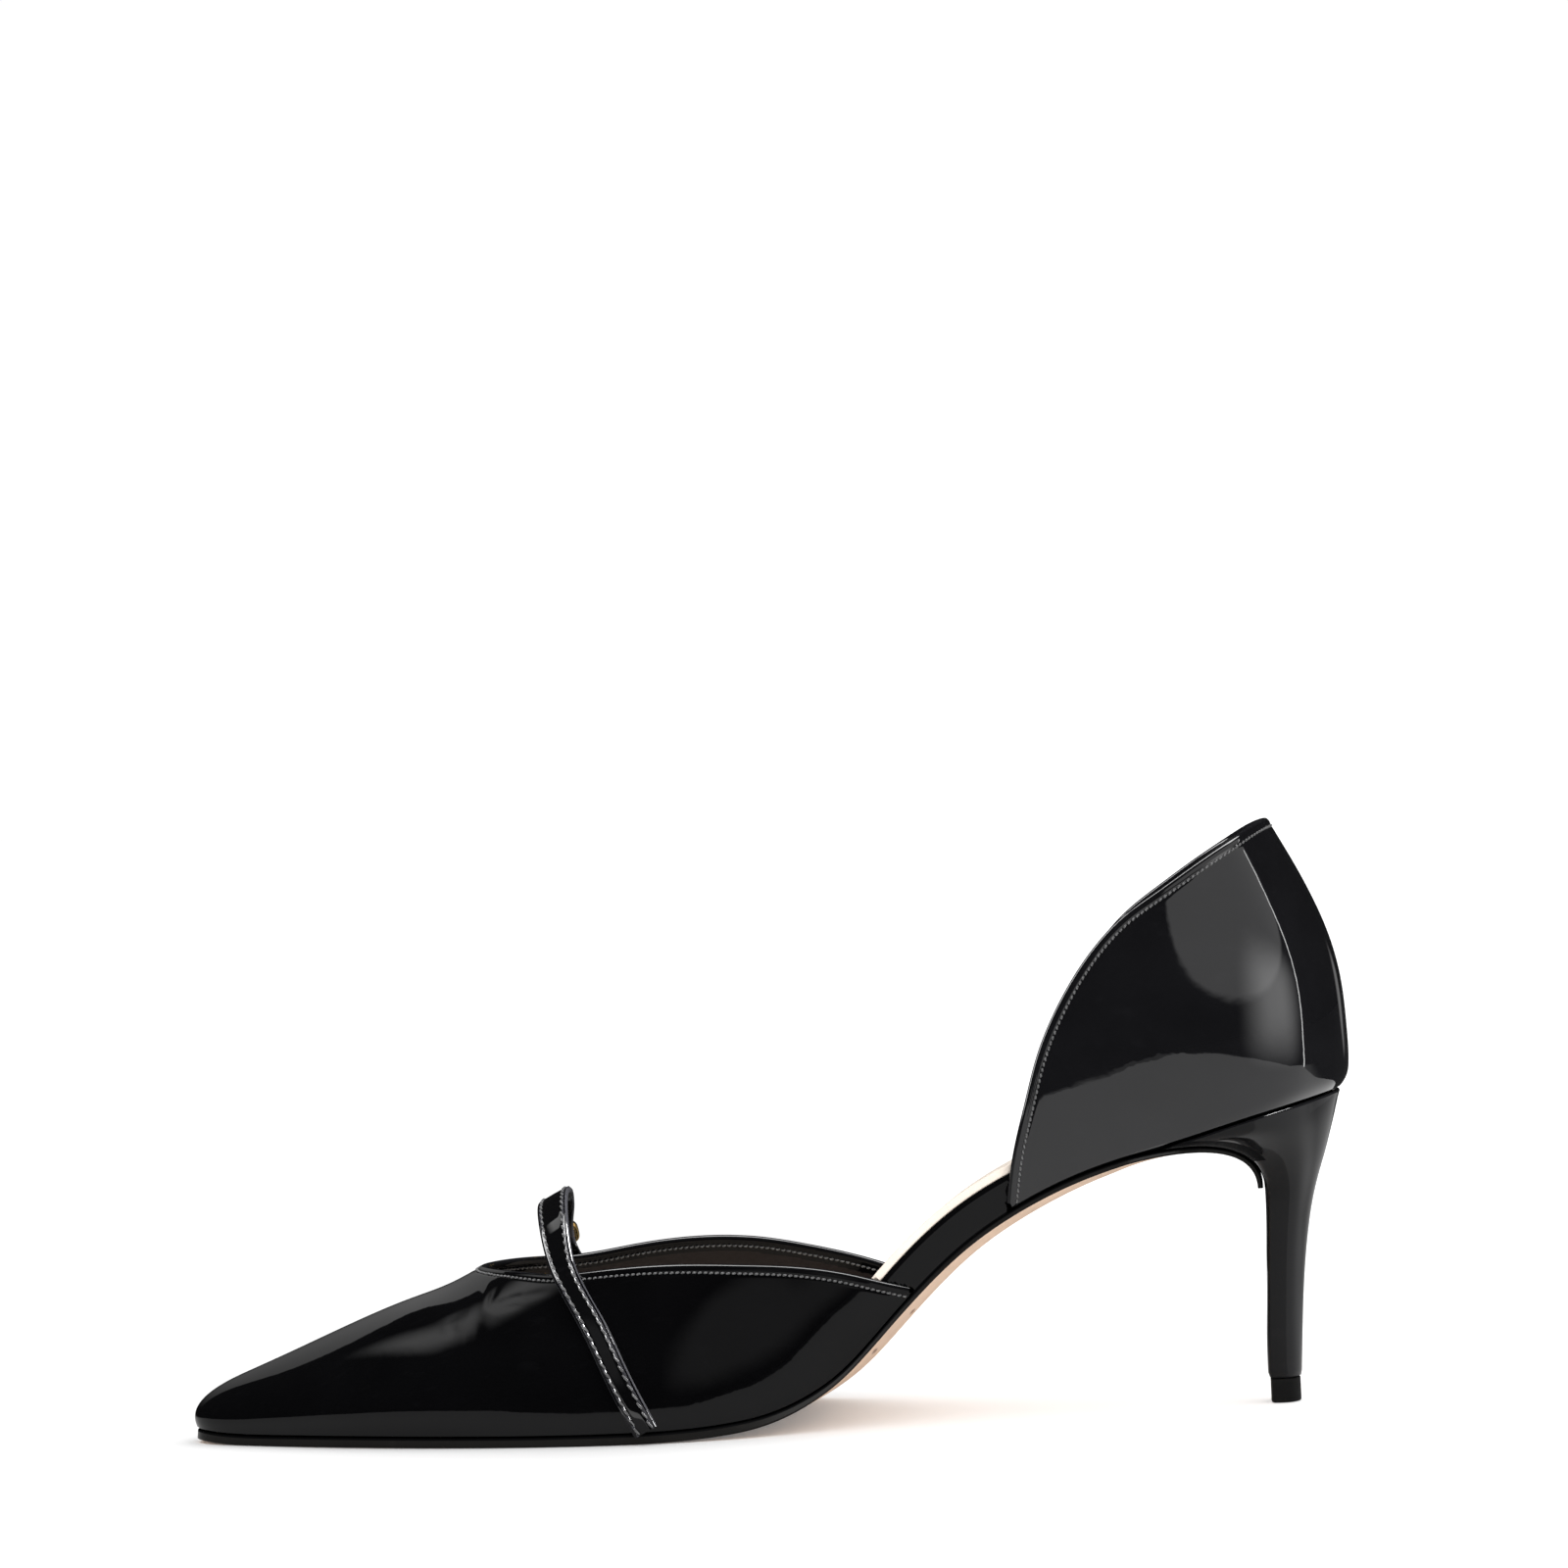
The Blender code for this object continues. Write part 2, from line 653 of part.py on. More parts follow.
def build_heel(frame, collection):
    """Covered heel: every ring is the seat's outline drawn in, from the seat down to the tip."""
    seat = seat_ring()
    share = (seat[:, 0] - LIP_FRONT) / (FEATHER_BACK - LIP_FRONT)
    swing = seat[:, 1] / np.abs(seat[:, 1]).max()
    rings = [np.stack([seat[:, 0], seat[:, 1], feather_height(seat[:, 0]) - GAP], axis=1)]
    front, normal = flap_path(column(BREAST, "along"))
    front = front + normal * GAP
    for place, row in zip(front, BREAST):
        x = place[0] + (row.back_x - place[0]) * share
        z = place[1] + (row.back_z - place[1]) * share
        rings.append(np.stack([x, swing * row.half_width, z], axis=1))
    for row in STEM:
        x = row.front + (row.back - row.front) * share
        rings.append(np.stack([x, swing * row.half_width, np.full_like(x, row.height)], axis=1))
    add_loft("heel", rings, PATENT, frame, collection)


def build_top_piece(frame, collection):
    """Rubber tip, a little inside the heel's end."""
    seat = seat_ring()
    share = (seat[:, 0] - LIP_FRONT) / (FEATHER_BACK - LIP_FRONT)
    swing = seat[:, 1] / np.abs(seat[:, 1]).max()
    end = STEM[-1]
    rings = []
    chamfer = 0.4
    levels = (TOP_PIECE_HEIGHT, chamfer, 0.0)
    insets = (TOP_PIECE_INSET, TOP_PIECE_INSET, TOP_PIECE_INSET + chamfer)
    for height, inset in zip(levels, insets):
        x = end.front + inset + (end.back - end.front - 2 * inset) * share
        y = swing * (end.half_width - inset)
        rings.append(np.stack([x, y, np.full_like(x, height)], axis=1))
    add_loft("top_piece", rings, RUBBER, frame, collection)


# Strap and buckle
def route_place(side, climb):
    """Turn on the feather line that puts the strap's middle over its route at a climb on one side."""
    level = column(ROUTE, "height")
    route = spline(level, column(ROUTE, "inner" if side < 0 else "outer"))
    turn = np.full_like(climb, turn_at(-35.0))
    for _ in range(12):
        point = last_point(side * turn, climb)
        turn = turn + turn_at(route(point[:, 2])) - turn_at(point[:, 0])
    return side * turn


def strap_point(turns, climbs):
    """Point on the strap's route: on the last up to the topline, and arched over the open instep."""
    points = last_point(turns, climbs)
    arch = APEX_LIFT * smooth_step(APEX_FOOT, RIDGE_AT_STRAP, points[:, 2])
    return points + np.stack([np.zeros_like(arch), np.zeros_like(arch), arch], axis=1)


def strap_frame(low_side, low_height, high_side, high_height, count):
    """Places, normals and across directions along the route between two heights."""
    fine = np.linspace(0.0, 1.0, 240)
    inner = route_place(-1, fine)
    outer = route_place(1, fine[::-1])
    turns = np.concatenate([inner, outer[1:]])
    climbs = np.concatenate([fine, fine[::-1][1:]])
    points = strap_point(turns, climbs)
    normal = last_normal(turns, climbs)
    normal[len(fine) - 1] = normal[len(fine) - 2] + normal[len(fine)]
    tangent = np.gradient(points, axis=0)
    tangent = tangent / np.linalg.norm(tangent, axis=1, keepdims=True)
    across = np.cross(tangent, normal)
    across = across / np.linalg.norm(across, axis=1, keepdims=True)
    normal = np.cross(across, tangent)
    length = np.concatenate([[0], np.cumsum(np.linalg.norm(np.diff(points, axis=0), axis=1))])
    middle = len(fine) - 1
    ends = []
    for side, height in ((low_side, low_height), (high_side, high_height)):
        half = slice(0, middle + 1) if side < 0 else slice(middle, None)
        order = np.argsort(points[half, 2])
        ends.append(np.interp(height, points[half, 2][order], length[half][order]))
    at = np.linspace(ends[0], ends[1], count)
    pick = [np.stack([np.interp(at, length, values[:, axis]) for axis in range(3)], axis=1)
            for values in (points, normal, across)]
    return at, pick[0], pick[1], pick[2]


def strap_rings(places, normals, across, lift, thickness, width):
    """Rings of a strap: an eight-sided band with rounded edges, lifted off the last."""
    across_share = np.array([-1.0, -0.82, 0.82, 1.0, 1.0, 0.8, -0.8, -1.0])
    lift_share = np.array([0.3, 0.0, 0.0, 0.3, 0.7, 1.0, 1.0, 0.7])
    shift = (width / 2)[:, None] * across_share
    raise_by = lift[:, None] + thickness * lift_share
    return places[:, None] + across[:, None] * shift[..., None] + normals[:, None] * raise_by[..., None]


def build_strap(frame, collection):
    """Strap from the inner feather line over the instep to its tail below the buckle."""
    at, places, normals, across = strap_frame(-1, 3.4, 1, STRAP_TAIL_HEIGHT, 34)
    width = spline(column(ROUTE, "height"), column(ROUTE, "width"))(places[:, 2])
    over_tab = smooth_step(at[-1] - 34.0, at[-1] - 24.0, at)
    lift = GAP + (TAB_THICKNESS + GAP) * over_tab
    width = width * (1 - 0.45 * smooth_step(at[-1] - 3.5, at[-1], at))
    rings = strap_rings(places, normals, across, lift, STRAP_THICKNESS, width)
    add_loft("strap", rings, PATENT, frame, collection)


def build_tab(frame, collection):
    """Short tab on the outer side, from the feather line up to the buckle."""
    at, places, normals, across = strap_frame(1, TAB_TOP_HEIGHT, 1, 3.4, 18)
    width = np.full_like(at, 5.0)
    rings = strap_rings(places, normals, across, np.full_like(at, GAP), TAB_THICKNESS, width)
    add_loft("strap_tab", rings, PATENT, frame, collection)


def buckle_place():
    """Middle of the buckle on the strap's outer face, with its along, across and normal directions."""
    at, places, normals, across = strap_frame(1, BUCKLE_HEIGHT + 0.6, 1, BUCKLE_HEIGHT - 0.6, 3)
    along = places[2] - places[0]
    along = along / np.linalg.norm(along)
    lift = 3 * GAP + TAB_THICKNESS + STRAP_THICKNESS + BUCKLE_WIRE / 2
    return places[1] + normals[1] * lift, along, across[1], normals[1]


def build_buckle(frame, collection):
    """Gold frame of round wire with rounded corners, and its prong."""
    middle, along, across, normal = buckle_place()
    angle = np.linspace(0, 2 * np.pi, 28, endpoint=False)
    power = 0.45
    run = np.sign(np.cos(angle)) * np.abs(np.cos(angle)) ** power * (BUCKLE_LENGTH - BUCKLE_WIRE) / 2
    spread = np.sign(np.sin(angle)) * np.abs(np.sin(angle)) ** power * (BUCKLE_WIDTH - BUCKLE_WIRE) / 2
    path = middle + run[:, None] * along + spread[:, None] * across
    away = path - middle
    away = away / np.linalg.norm(away, axis=1, keepdims=True)
    around = np.linspace(0, 2 * np.pi, 8, endpoint=False)
    out = np.cos(around)[:, None]
    over = np.sin(around)[:, None]
    rings = path[:, None] + BUCKLE_WIRE / 2 * (out * away[:, None] + over * normal)
    faces = grid_faces(len(path) + 1, 8, closed=True) % (len(path) * 8)
    add_piece("buckle_frame", rings.reshape(-1, 3), faces, GOLD, frame, collection)
    wire = BUCKLE_WIRE * 0.8
    start = middle - along * (BUCKLE_LENGTH / 2 - BUCKLE_WIRE - GAP)
    reach = np.linspace(0, BUCKLE_LENGTH - BUCKLE_WIRE * 1.4, 6)
    rise = (BUCKLE_WIRE / 2 + GAP + wire / 2) * smooth_step(0.4, BUCKLE_LENGTH * 0.5, reach)
    spine = start + reach[:, None] * along + rise[:, None] * normal
    prong = spine[:, None] + wire / 2 * (out * across + over * normal)
    add_loft("buckle_prong", prong, GOLD, frame, collection)


def main():
    """Clear the scene and build every piece under one frame."""
    for item in list(bpy.data.objects):
        bpy.data.objects.remove(item, do_unlink=True)
    collection = bpy.data.collections.new("pump_shoe")
    bpy.context.scene.collection.children.link(collection)
    frame = bpy.data.objects.new("shoe_frame", None)
    frame.location = [shift * MM for shift in FRAME_SHIFT]
    collection.objects.link(frame)
    bottom = (build_outsole, build_board, build_sock, build_heel, build_top_piece)
    upper = (build_vamp, build_quarter, build_strap, build_tab, build_buckle)
    for build in bottom + upper:
        build(frame, collection)


main()
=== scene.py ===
"""Looks of a black patent pump with a pointed toe, a cut-away waist and a strap over the instep.

Finer surfaces stand for the solids, with rolled edges, creases, linings and stitches, and with
procedural finishes in a plain studio. Sizes are millimetres in the frame of the last: the toe points to
-X, the inner side is -Y and the floor is Z = 0. put_mesh turns them into metres in the row frame.
"""

import math
from collections import namedtuple

import bmesh
import bpy
import numpy as np
from bpy.props import FloatProperty, FloatVectorProperty, PointerProperty
from mathutils import Matrix, Vector


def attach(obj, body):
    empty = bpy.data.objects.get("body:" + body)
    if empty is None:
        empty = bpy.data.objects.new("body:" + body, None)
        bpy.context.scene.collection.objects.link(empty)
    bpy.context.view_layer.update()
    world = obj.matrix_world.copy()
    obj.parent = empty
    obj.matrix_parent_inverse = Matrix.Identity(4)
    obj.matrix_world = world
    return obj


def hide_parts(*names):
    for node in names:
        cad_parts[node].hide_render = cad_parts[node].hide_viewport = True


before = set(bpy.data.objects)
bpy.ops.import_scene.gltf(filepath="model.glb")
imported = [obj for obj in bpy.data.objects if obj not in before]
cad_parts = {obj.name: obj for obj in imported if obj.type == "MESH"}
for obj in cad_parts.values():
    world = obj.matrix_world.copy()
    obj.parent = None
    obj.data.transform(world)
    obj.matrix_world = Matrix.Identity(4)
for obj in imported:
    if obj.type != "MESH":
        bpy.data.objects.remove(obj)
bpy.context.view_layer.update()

bl_info = {
    "name": "Patent pump",
    "version": (1, 0, 0),
    "blender": (4, 5, 0),
    "location": "View3D > Sidebar > Pump",
    "description": "Builds the surfaces, finishes and studio of a patent pump",
    "category": "Object",
}

MM = 0.001
BODY = "root"

# Driving sizes of the last and its pieces
GAP = 0.3
UPPER_WALL = 1.5
FEATHER_TOE = -120.2
FEATHER_BACK = 120.7
TOE_SWING = -2.0
BACK_SWING = 0.1
TOE_FAN = 11.0
SOLE_EDGE_FRONT = 2.0
SOLE_EDGE_WAIST = 1.1
SOLE_DOME = 1.7
SOCK_THICKNESS = 1.5
SOCK_INSET = 0.5
THROAT_X = -59.0
WING_END_INNER = 31.2
WING_END_OUTER = 30.8
QUARTER_FRONT = 52.7
FLAP_START = 76.0
FLAP_END_X = 104.1
FLAP_END_Z = 44.5
FLAP_END_HALF = 5.6
LIP_FRONT = 82.5
BREAST_HEIGHT = 51.0
TOP_PIECE_HEIGHT = 5.0
TOP_PIECE_INSET = 0.2
STRAP_THICKNESS = 1.4
TAB_THICKNESS = 1.2
BUCKLE_LENGTH = 7.0
BUCKLE_WIDTH = 8.2
BUCKLE_WIRE = 1.3
WAIST_TWIST = 0.05
FRAME_SHIFT = np.array([-1.102, -2.064, 0.0])
STRAP_TAIL_HEIGHT = 19.0
TAB_TOP_HEIGHT = 34.4
BUCKLE_HEIGHT = 35.0
APEX_LIFT = 3.8
APEX_FOOT = 33.6
CUP_MIDDLE = 75.0
CUP_HALF = 23.5
CUP_TALL = 66.0
CUP_BACK_START = 96.0
BOARD_SHORT = 2.6
SOLE_EDGE_RADIUS = 0.3
BOARD_EDGE_RADIUS = 0.45
SOCK_EDGE_RADIUS = 0.4
VAMP_FOOT_RADIUS = 0.25
QUARTER_FOOT_RADIUS = 0.7
EDGE_FOLD_PROUD = 0.08
HEEL_LIP_RADIUS = 0.45
TIP_EDGE_RADIUS = 0.4
SEAT_CORNER = 6.0
STRAP_FOOT_HEIGHT = 2.7
STRAP_CROWN = 0.12
STRAP_FOLD_PROUD = 0.06
TAIL_LENGTH = 2.4
TAB_FOOT_HEIGHT = 3.4
TAB_WIDTH = 5.0
STITCH_SLANT_DEG = 14.0

# Feather line from above: half widths to each side of the axis at a station along the shoe
Outline = namedtuple("Outline", "station inner outer")
OUTLINE = (
    Outline(-116.0, 8.6, 5.0), Outline(-108.0, 12.6, 9.8), Outline(-95.0, 18.3, 16.7),
    Outline(-78.0, 24.3, 24.1), Outline(-60.0, 29.0, 30.2), Outline(-42.0, 32.0, 34.8),
    Outline(-25.0, 32.8, 37.4), Outline(-8.0, 30.6, 36.8), Outline(10.0, 25.2, 32.0),
    Outline(28.0, 20.0, 26.4), Outline(45.0, 17.6, 22.6), Outline(60.0, 18.4, 21.4),
    Outline(78.0, 21.2, 22.4), Outline(95.0, 23.4, 23.6), Outline(108.0, 20.7, 20.9),
    Outline(116.0, 12.9, 13.1),
)

# Feather line from the side: toe spring, flat tread, arch and heel seat
Level = namedtuple("Level", "station height")
FEATHER_LEVEL = (
    Level(-120.2, 3.1), Level(-112.0, 2.4), Level(-100.0, 2.3), Level(-60.0, 2.3), Level(-30.0, 2.3),
    Level(-15.0, 2.6), Level(-5.0, 3.4), Level(3.0, 4.8), Level(10.0, 7.3), Level(17.3, 11.8),
    Level(25.5, 19.7), Level(33.8, 28.1), Level(42.1, 35.4), Level(54.4, 43.3), Level(66.7, 49.2),
    Level(78.8, 53.5), Level(91.0, 57.2), Level(105.0, 61.1), Level(120.7, 64.4),
)

# Ridge of the last, over the vamp and on up the instep
Ridge = namedtuple("Ridge", "station height offset")
RIDGE = (
    Ridge(-110.0, 13.9, -1.6), Ridge(-100.0, 17.9, -1.2), Ridge(-85.0, 24.1, -0.6),
    Ridge(-74.0, 28.1, -0.2), Ridge(-66.0, 30.8, 0.2), Ridge(-59.0, 34.2, 0.6), Ridge(-50.0, 39.2, 1.0),
    Ridge(-42.0, 43.4, 1.3), Ridge(-15.0, 57.8, 2.0), Ridge(35.0, 85.0, 2.4),
)

# Cross sections: lean of the wall at the feather, and how far each end pulls the curve
Section = namedtuple("Section", "station lean_deg rise crown")
SECTION = (
    Section(-110.0, 24.0, 0.50, 0.60),
    Section(-85.0, 24.0, 0.49, 0.58),
    Section(-64.0, 17.0, 0.48, 0.565),
    Section(-50.0, 7.5, 0.48, 0.55),
    Section(-34.0, 2.5, 0.48, 0.53),
    Section(-10.0, 1.5, 0.47, 0.495),
    Section(6.0, 4.0, 0.455, 0.475),
    Section(15.0, 9.0, 0.445, 0.465),
    Section(35.0, 9.0, 0.42, 0.44),
)

# Topline of the vamp from the side, one height for each side of the shoe
Topline = namedtuple("Topline", "station inner outer")
TOPLINE = (
    Topline(-59.0, 34.2, 34.2), Topline(-50.0, 34.0, 33.8), Topline(-42.0, 33.6, 33.4),
    Topline(-30.0, 34.4, 34.6), Topline(-15.0, 34.9, 35.5), Topline(-5.0, 34.4, 34.9),
    Topline(8.0, 33.0, 32.8), Topline(20.0, 30.2, 30.2), Topline(26.0, 28.2, 28.4),
    Topline(31.4, 26.6, 26.6),
)

# Collar of the quarter from the side
COLLAR = (
    Level(52.7, 43.5), Level(54.2, 52.6), Level(57.4, 64.6), Level(60.0, 73.3), Level(64.5, 83.3),
    Level(68.8, 90.4), Level(73.0, 95.9), Level(79.0, 101.8), Level(85.2, 106.1), Level(93.3, 111.4),
    Level(101.5, 116.4), Level(105.7, 118.8), Level(109.0, 120.0), Level(114.0, 120.2),
)

# Heel cup: how far the wall stands out from the feather line at a height, at its side and at its back
Cup = namedtuple("Cup", "height side back")
CUP = (
    Cup(0.0, 0.0, 0.0), Cup(2.0, 1.0, 1.4), Cup(5.0, 1.9, 2.1), Cup(11.0, 2.7, 2.1), Cup(18.0, 2.8, 1.7),
    Cup(26.0, 2.3, 0.6), Cup(34.0, 1.2, -1.7), Cup(42.0, -0.4, -5.1), Cup(50.0, -2.3, -9.2),
    Cup(58.0, -4.4, -13.6), Cup(66.0, -6.6, -18.0),
)

# Thickness of the covered board, square to its bottom
Board = namedtuple("Board", "station thickness")
BOARD = (
    Board(-120.0, 2.4), Board(-40.0, 2.4), Board(0.0, 3.4), Board(22.0, 6.0), Board(40.0, 6.7),
    Board(56.0, 6.5), Board(75.0, 4.8), Board(95.0, 3.6), Board(120.0, 3.4),
)

# Heel rings along the breast under the sole flap, then rings down the stem
Breast = namedtuple("Breast", "along back_x back_z half_width")
BREAST = (
    Breast(0.30, 120.3, 62.4, 23.3), Breast(0.50, 119.4, 59.0, 19.9), Breast(0.68, 118.2, 54.8, 16.2),
    Breast(0.82, 117.0, 50.8, 13.2), Breast(0.92, 116.0, 47.8, 11.2), Breast(1.00, 114.9, 44.2, 9.6),
)
Stem = namedtuple("Stem", "height front back half_width")
STEM = (
    Stem(37.0, 104.4, 113.3, 7.8), Stem(29.5, 104.1, 112.2, 6.5), Stem(21.5, 103.8, 111.4, 5.6),
    Stem(13.0, 103.4, 110.8, 4.9), Stem(6.3, 103.3, 110.4, 4.5), Stem(5.3, 103.6, 110.2, 4.2),
)

# Strap: where its middle lies on the last at a height, on each side, and its width
Route = namedtuple("Route", "height inner outer width")
ROUTE = (
    Route(3.2, -22.8, -29.5, 5.0), Route(15.5, -28.8, -36.0, 5.0), Route(24.2, -33.0, -39.8, 5.0),
    Route(33.0, -38.4, -43.4, 5.1), Route(38.0, -40.8, -43.6, 5.8), Route(43.0, -42.6, -42.6, 6.5),
)

# Creases of the vamp from the side: a ridge or trough between two places, on the inner (-1) or outer side
Crease = namedtuple("Crease", "side x z x_end z_end width depth")
VAMP_CREASES = (
    Crease(-1, -55.4, 28.2, -53.4, 31.6, 0.6, -0.10),
    Crease(-1, -54.6, 27.8, -49.0, 29.8, 0.6, -0.12),
    Crease(-1, -50.5, 29.2, -43.0, 30.6, 0.8, -0.09),
    Crease(-1, -53.6, 27.3, -48.4, 28.2, 0.6, -0.09),
    Crease(-1, -56.4, 28.4, -55.8, 32.0, 0.9, 0.07),
    Crease(-1, -65.2, 24.4, -60.8, 26.2, 0.8, -0.08),
    Crease(-1, -64.4, 23.2, -62.6, 23.6, 1.0, -0.11),
    Crease(-1, -69.0, 14.0, -68.0, 27.0, 7.0, 0.20),
    Crease(-1, -57.9, 18.5, -57.2, 25.0, 1.7, -0.10),
    Crease(-1, -72.0, 12.0, -66.5, 17.5, 1.6, 0.06),
    Crease(1, -55.0, 28.0, -48.0, 30.0, 0.8, -0.11),
    Crease(1, -53.5, 27.0, -46.5, 28.4, 0.8, -0.09),
    Crease(1, -65.0, 24.0, -60.5, 25.5, 1.0, -0.10),
)

# Faint waves of the stretched leather: length and height of a sine, and where it heads in the side view
Wave = namedtuple("Wave", "length heading_deg height phase")
VAMP_WAVES = (
    Wave(23.0, 20.0, 0.012, 0.3), Wave(14.5, 75.0, 0.006, 1.9), Wave(9.0, -40.0, 0.003, 4.1),
)
QUARTER_WAVES = (
    Wave(21.0, 65.0, 0.010, 0.9), Wave(13.0, 110.0, 0.005, 2.2), Wave(8.5, 30.0, 0.002, 5.0),
)


def column(rows, name):
    """One named column of a table as an array."""
    return np.array([getattr(row, name) for row in rows])


def spline(knots, values, period=None):
    """Cubic spline through the knots: natural at its ends, or closed when a period is given.

    The second derivatives solve the usual three-term equations. values may hold several columns.
    """
    knots = np.asarray(knots, float)
    values = np.asarray(values, float)
    if period is not None:
        knots = np.concatenate([knots[-3:] - period, knots, knots[:3] + period])
        values = np.concatenate([values[-3:], values, values[:3]])
    flat = values.reshape(len(knots), -1)
    step = np.diff(knots)
    slope = np.diff(flat, axis=0) / step[:, None]
    count = len(knots)
    matrix = np.eye(count)
    right = np.zeros_like(flat)
    inner = np.arange(1, count - 1)
    matrix[inner, inner - 1] = step[:-1]
    matrix[inner, inner] = 2 * (step[:-1] + step[1:])
    matrix[inner, inner + 1] = step[1:]
    right[inner] = 6 * np.diff(slope, axis=0)
    bend = np.linalg.solve(matrix, right)

    def curve(at):
        at = np.asarray(at, float)
        if period is not None:
            at = (at - knots[3]) % period + knots[3]
        low = np.clip(np.searchsorted(knots, at) - 1, 0, count - 2)
        width = step[low][..., None]
        far = (at - knots[low])[..., None] / width
        near = 1 - far
        bent = (near ** 3 - near) * bend[low] + (far ** 3 - far) * bend[low + 1]
        result = near * flat[low] + far * flat[low + 1] + width ** 2 / 6 * bent
        return result.reshape(at.shape + values.shape[1:])
    return curve


def table_curve(rows, name):
    """A column of a table as a smooth function of the station."""
    return spline(column(rows, "station"), column(rows, name))


def smooth_step(low, high, at):
    """Ease from 0 to 1 between two places."""
    part = np.clip((np.asarray(at, float) - low) / (high - low), 0.0, 1.0)
    return part * part * (3 - 2 * part)


def unit(vectors):
    """Vectors scaled to length one."""
    return vectors / np.linalg.norm(vectors, axis=-1, keepdims=True)


# The last
OUTLINE_MIDDLE = (FEATHER_TOE + FEATHER_BACK) / 2
OUTLINE_HALF = (FEATHER_BACK - FEATHER_TOE) / 2


def turn_at(x):
    """Place on the feather line, 0 at the toe and 1 at the heel: the arc cosine of the station's share."""
    return np.arccos(np.clip((OUTLINE_MIDDLE - np.asarray(x, float)) / OUTLINE_HALF, -1, 1)) / np.pi


def outline_curve():
    """Side swing of the feather line over a full turn: negative turns are the inner side."""
    turn = turn_at(column(OUTLINE, "station"))
    knots = np.concatenate([-turn[::-1], [0.0], turn, [1.0]])
    inner = -column(OUTLINE, "inner")[::-1]
    outer = column(OUTLINE, "outer")
    swing = np.concatenate([inner, [TOE_SWING], outer, [BACK_SWING]])
    return spline(knots, swing, period=2.0)


outline_swing = outline_curve()
feather_height = table_curve(FEATHER_LEVEL, "height")
ridge_height = table_curve(RIDGE, "height")
ridge_offset = table_curve(RIDGE, "offset")
section_lean = table_curve(SECTION, "lean_deg")
section_rise = table_curve(SECTION, "rise")
section_crown = table_curve(SECTION, "crown")
board_thickness = table_curve(BOARD, "thickness")
topline_inner = table_curve(TOPLINE, "inner")
topline_outer = table_curve(TOPLINE, "outer")
cup_side = spline(column(CUP, "height"), column(CUP, "side"))
cup_back = spline(column(CUP, "height"), column(CUP, "back"))
RIDGE_AT_STRAP = float(ridge_height(ROUTE[-1].inner))


def lengths(points):
    """Length along a line of points, from its start to each of them."""
    return np.concatenate([[0], np.cumsum(np.linalg.norm(np.diff(points, axis=0), axis=1))])


def at_lengths(at, length, points):
    """Points at some lengths along a line, straight between its own points."""
    return np.stack([np.interp(at, length, points[:, axis]) for axis in range(3)], axis=1)


def collar_line():
    """Stations and heights of the collar from the side: a smooth curve through its table by length."""
    points = np.stack([column(COLLAR, "station"), column(COLLAR, "height")], axis=1)
    length = lengths(points)
    return spline(length, points)(np.linspace(0, length[-1], 900)).T


COLLAR_X, COLLAR_Z = collar_line()


def collar_front(z):
    """Station of the quarter's front edge at a height."""
    return np.interp(z, COLLAR_Z, COLLAR_X)


def feather(turn):
    """Point of the feather line at a turn: a cosine for the station, tables for the swing and height."""
    x = OUTLINE_MIDDLE - OUTLINE_HALF * np.cos(np.pi * np.asarray(turn, float))
    return np.stack([x, outline_swing(turn), feather_height(x)], axis=-1)


def edge_inner(x):
    """Y of the inner edge at a station."""
    return outline_swing(-turn_at(x))


def edge_outer(x):
    """Y of the outer edge at a station."""
    return outline_swing(turn_at(x))


def last_point(turn, climb):
    """Point of the last: climb 0 is the feather line, 1 the ridge, along a cubic section between them."""
    turn, climb = np.broadcast_arrays(np.asarray(turn, float), np.asarray(climb, float))
    foot = feather(turn)
    spine_x = FEATHER_TOE + np.hypot(foot[..., 0] - FEATHER_TOE, TOE_FAN)
    crest = np.stack([spine_x, ridge_offset(spine_x), ridge_height(spine_x)], axis=-1)
    out = foot[..., :2] - crest[..., :2]
    width = np.linalg.norm(out, axis=-1, keepdims=True)
    out = out / width
    tall = (crest[..., 2] - foot[..., 2])[..., None]
    lean = np.radians(section_lean(spine_x))[..., None]
    slope = ((ridge_height(spine_x + 0.5) - ridge_height(spine_x - 0.5)) * out[..., 0])[..., None]
    wall = np.concatenate([np.sin(lean) * out, np.cos(lean)], axis=-1)
    roof = np.concatenate([out, slope], axis=-1)
    first = foot + section_rise(spine_x)[..., None] * tall * wall
    second = crest + section_crown(spine_x)[..., None] * width * roof
    t = climb[..., None]
    s = 1 - t
    return s ** 3 * foot + 3 * s ** 2 * t * first + 3 * s * t ** 2 * second + t ** 3 * crest


def surface_normal(point, first, second, first_step, second_step):
    """Outward normal of a surface of two parameters, from the cross product of its two differences."""
    along = point(first + first_step, second) - point(first - first_step, second)
    up = point(first, second + second_step) - point(first, second - second_step)
    return unit(np.cross(up, along))


def last_normal(turn, climb):
    """Outward normal of the last."""
    return surface_normal(last_point, turn, climb, 0.001, 0.001)


def first_crossing(values, over):
    """Value at which each row of over first turns positive, between its two samples."""
    after = np.maximum(np.argmax(over > 0, axis=1), 1)
    rows = np.arange(len(over))
    low = over[rows, after - 1]
    high = over[rows, after]
    return values[after - 1] + (values[after] - values[after - 1]) * low / (low - high)


def topline_climb(turns, side):
    """How high the vamp reaches on each section behind the throat: where it meets the topline's height."""
    climb = np.linspace(0, 1, 801)
    points = last_point(side * turns[:, None], climb)
    topline = topline_inner if side < 0 else topline_outer
    return first_crossing(climb, points[..., 2] - topline(points[..., 0]))


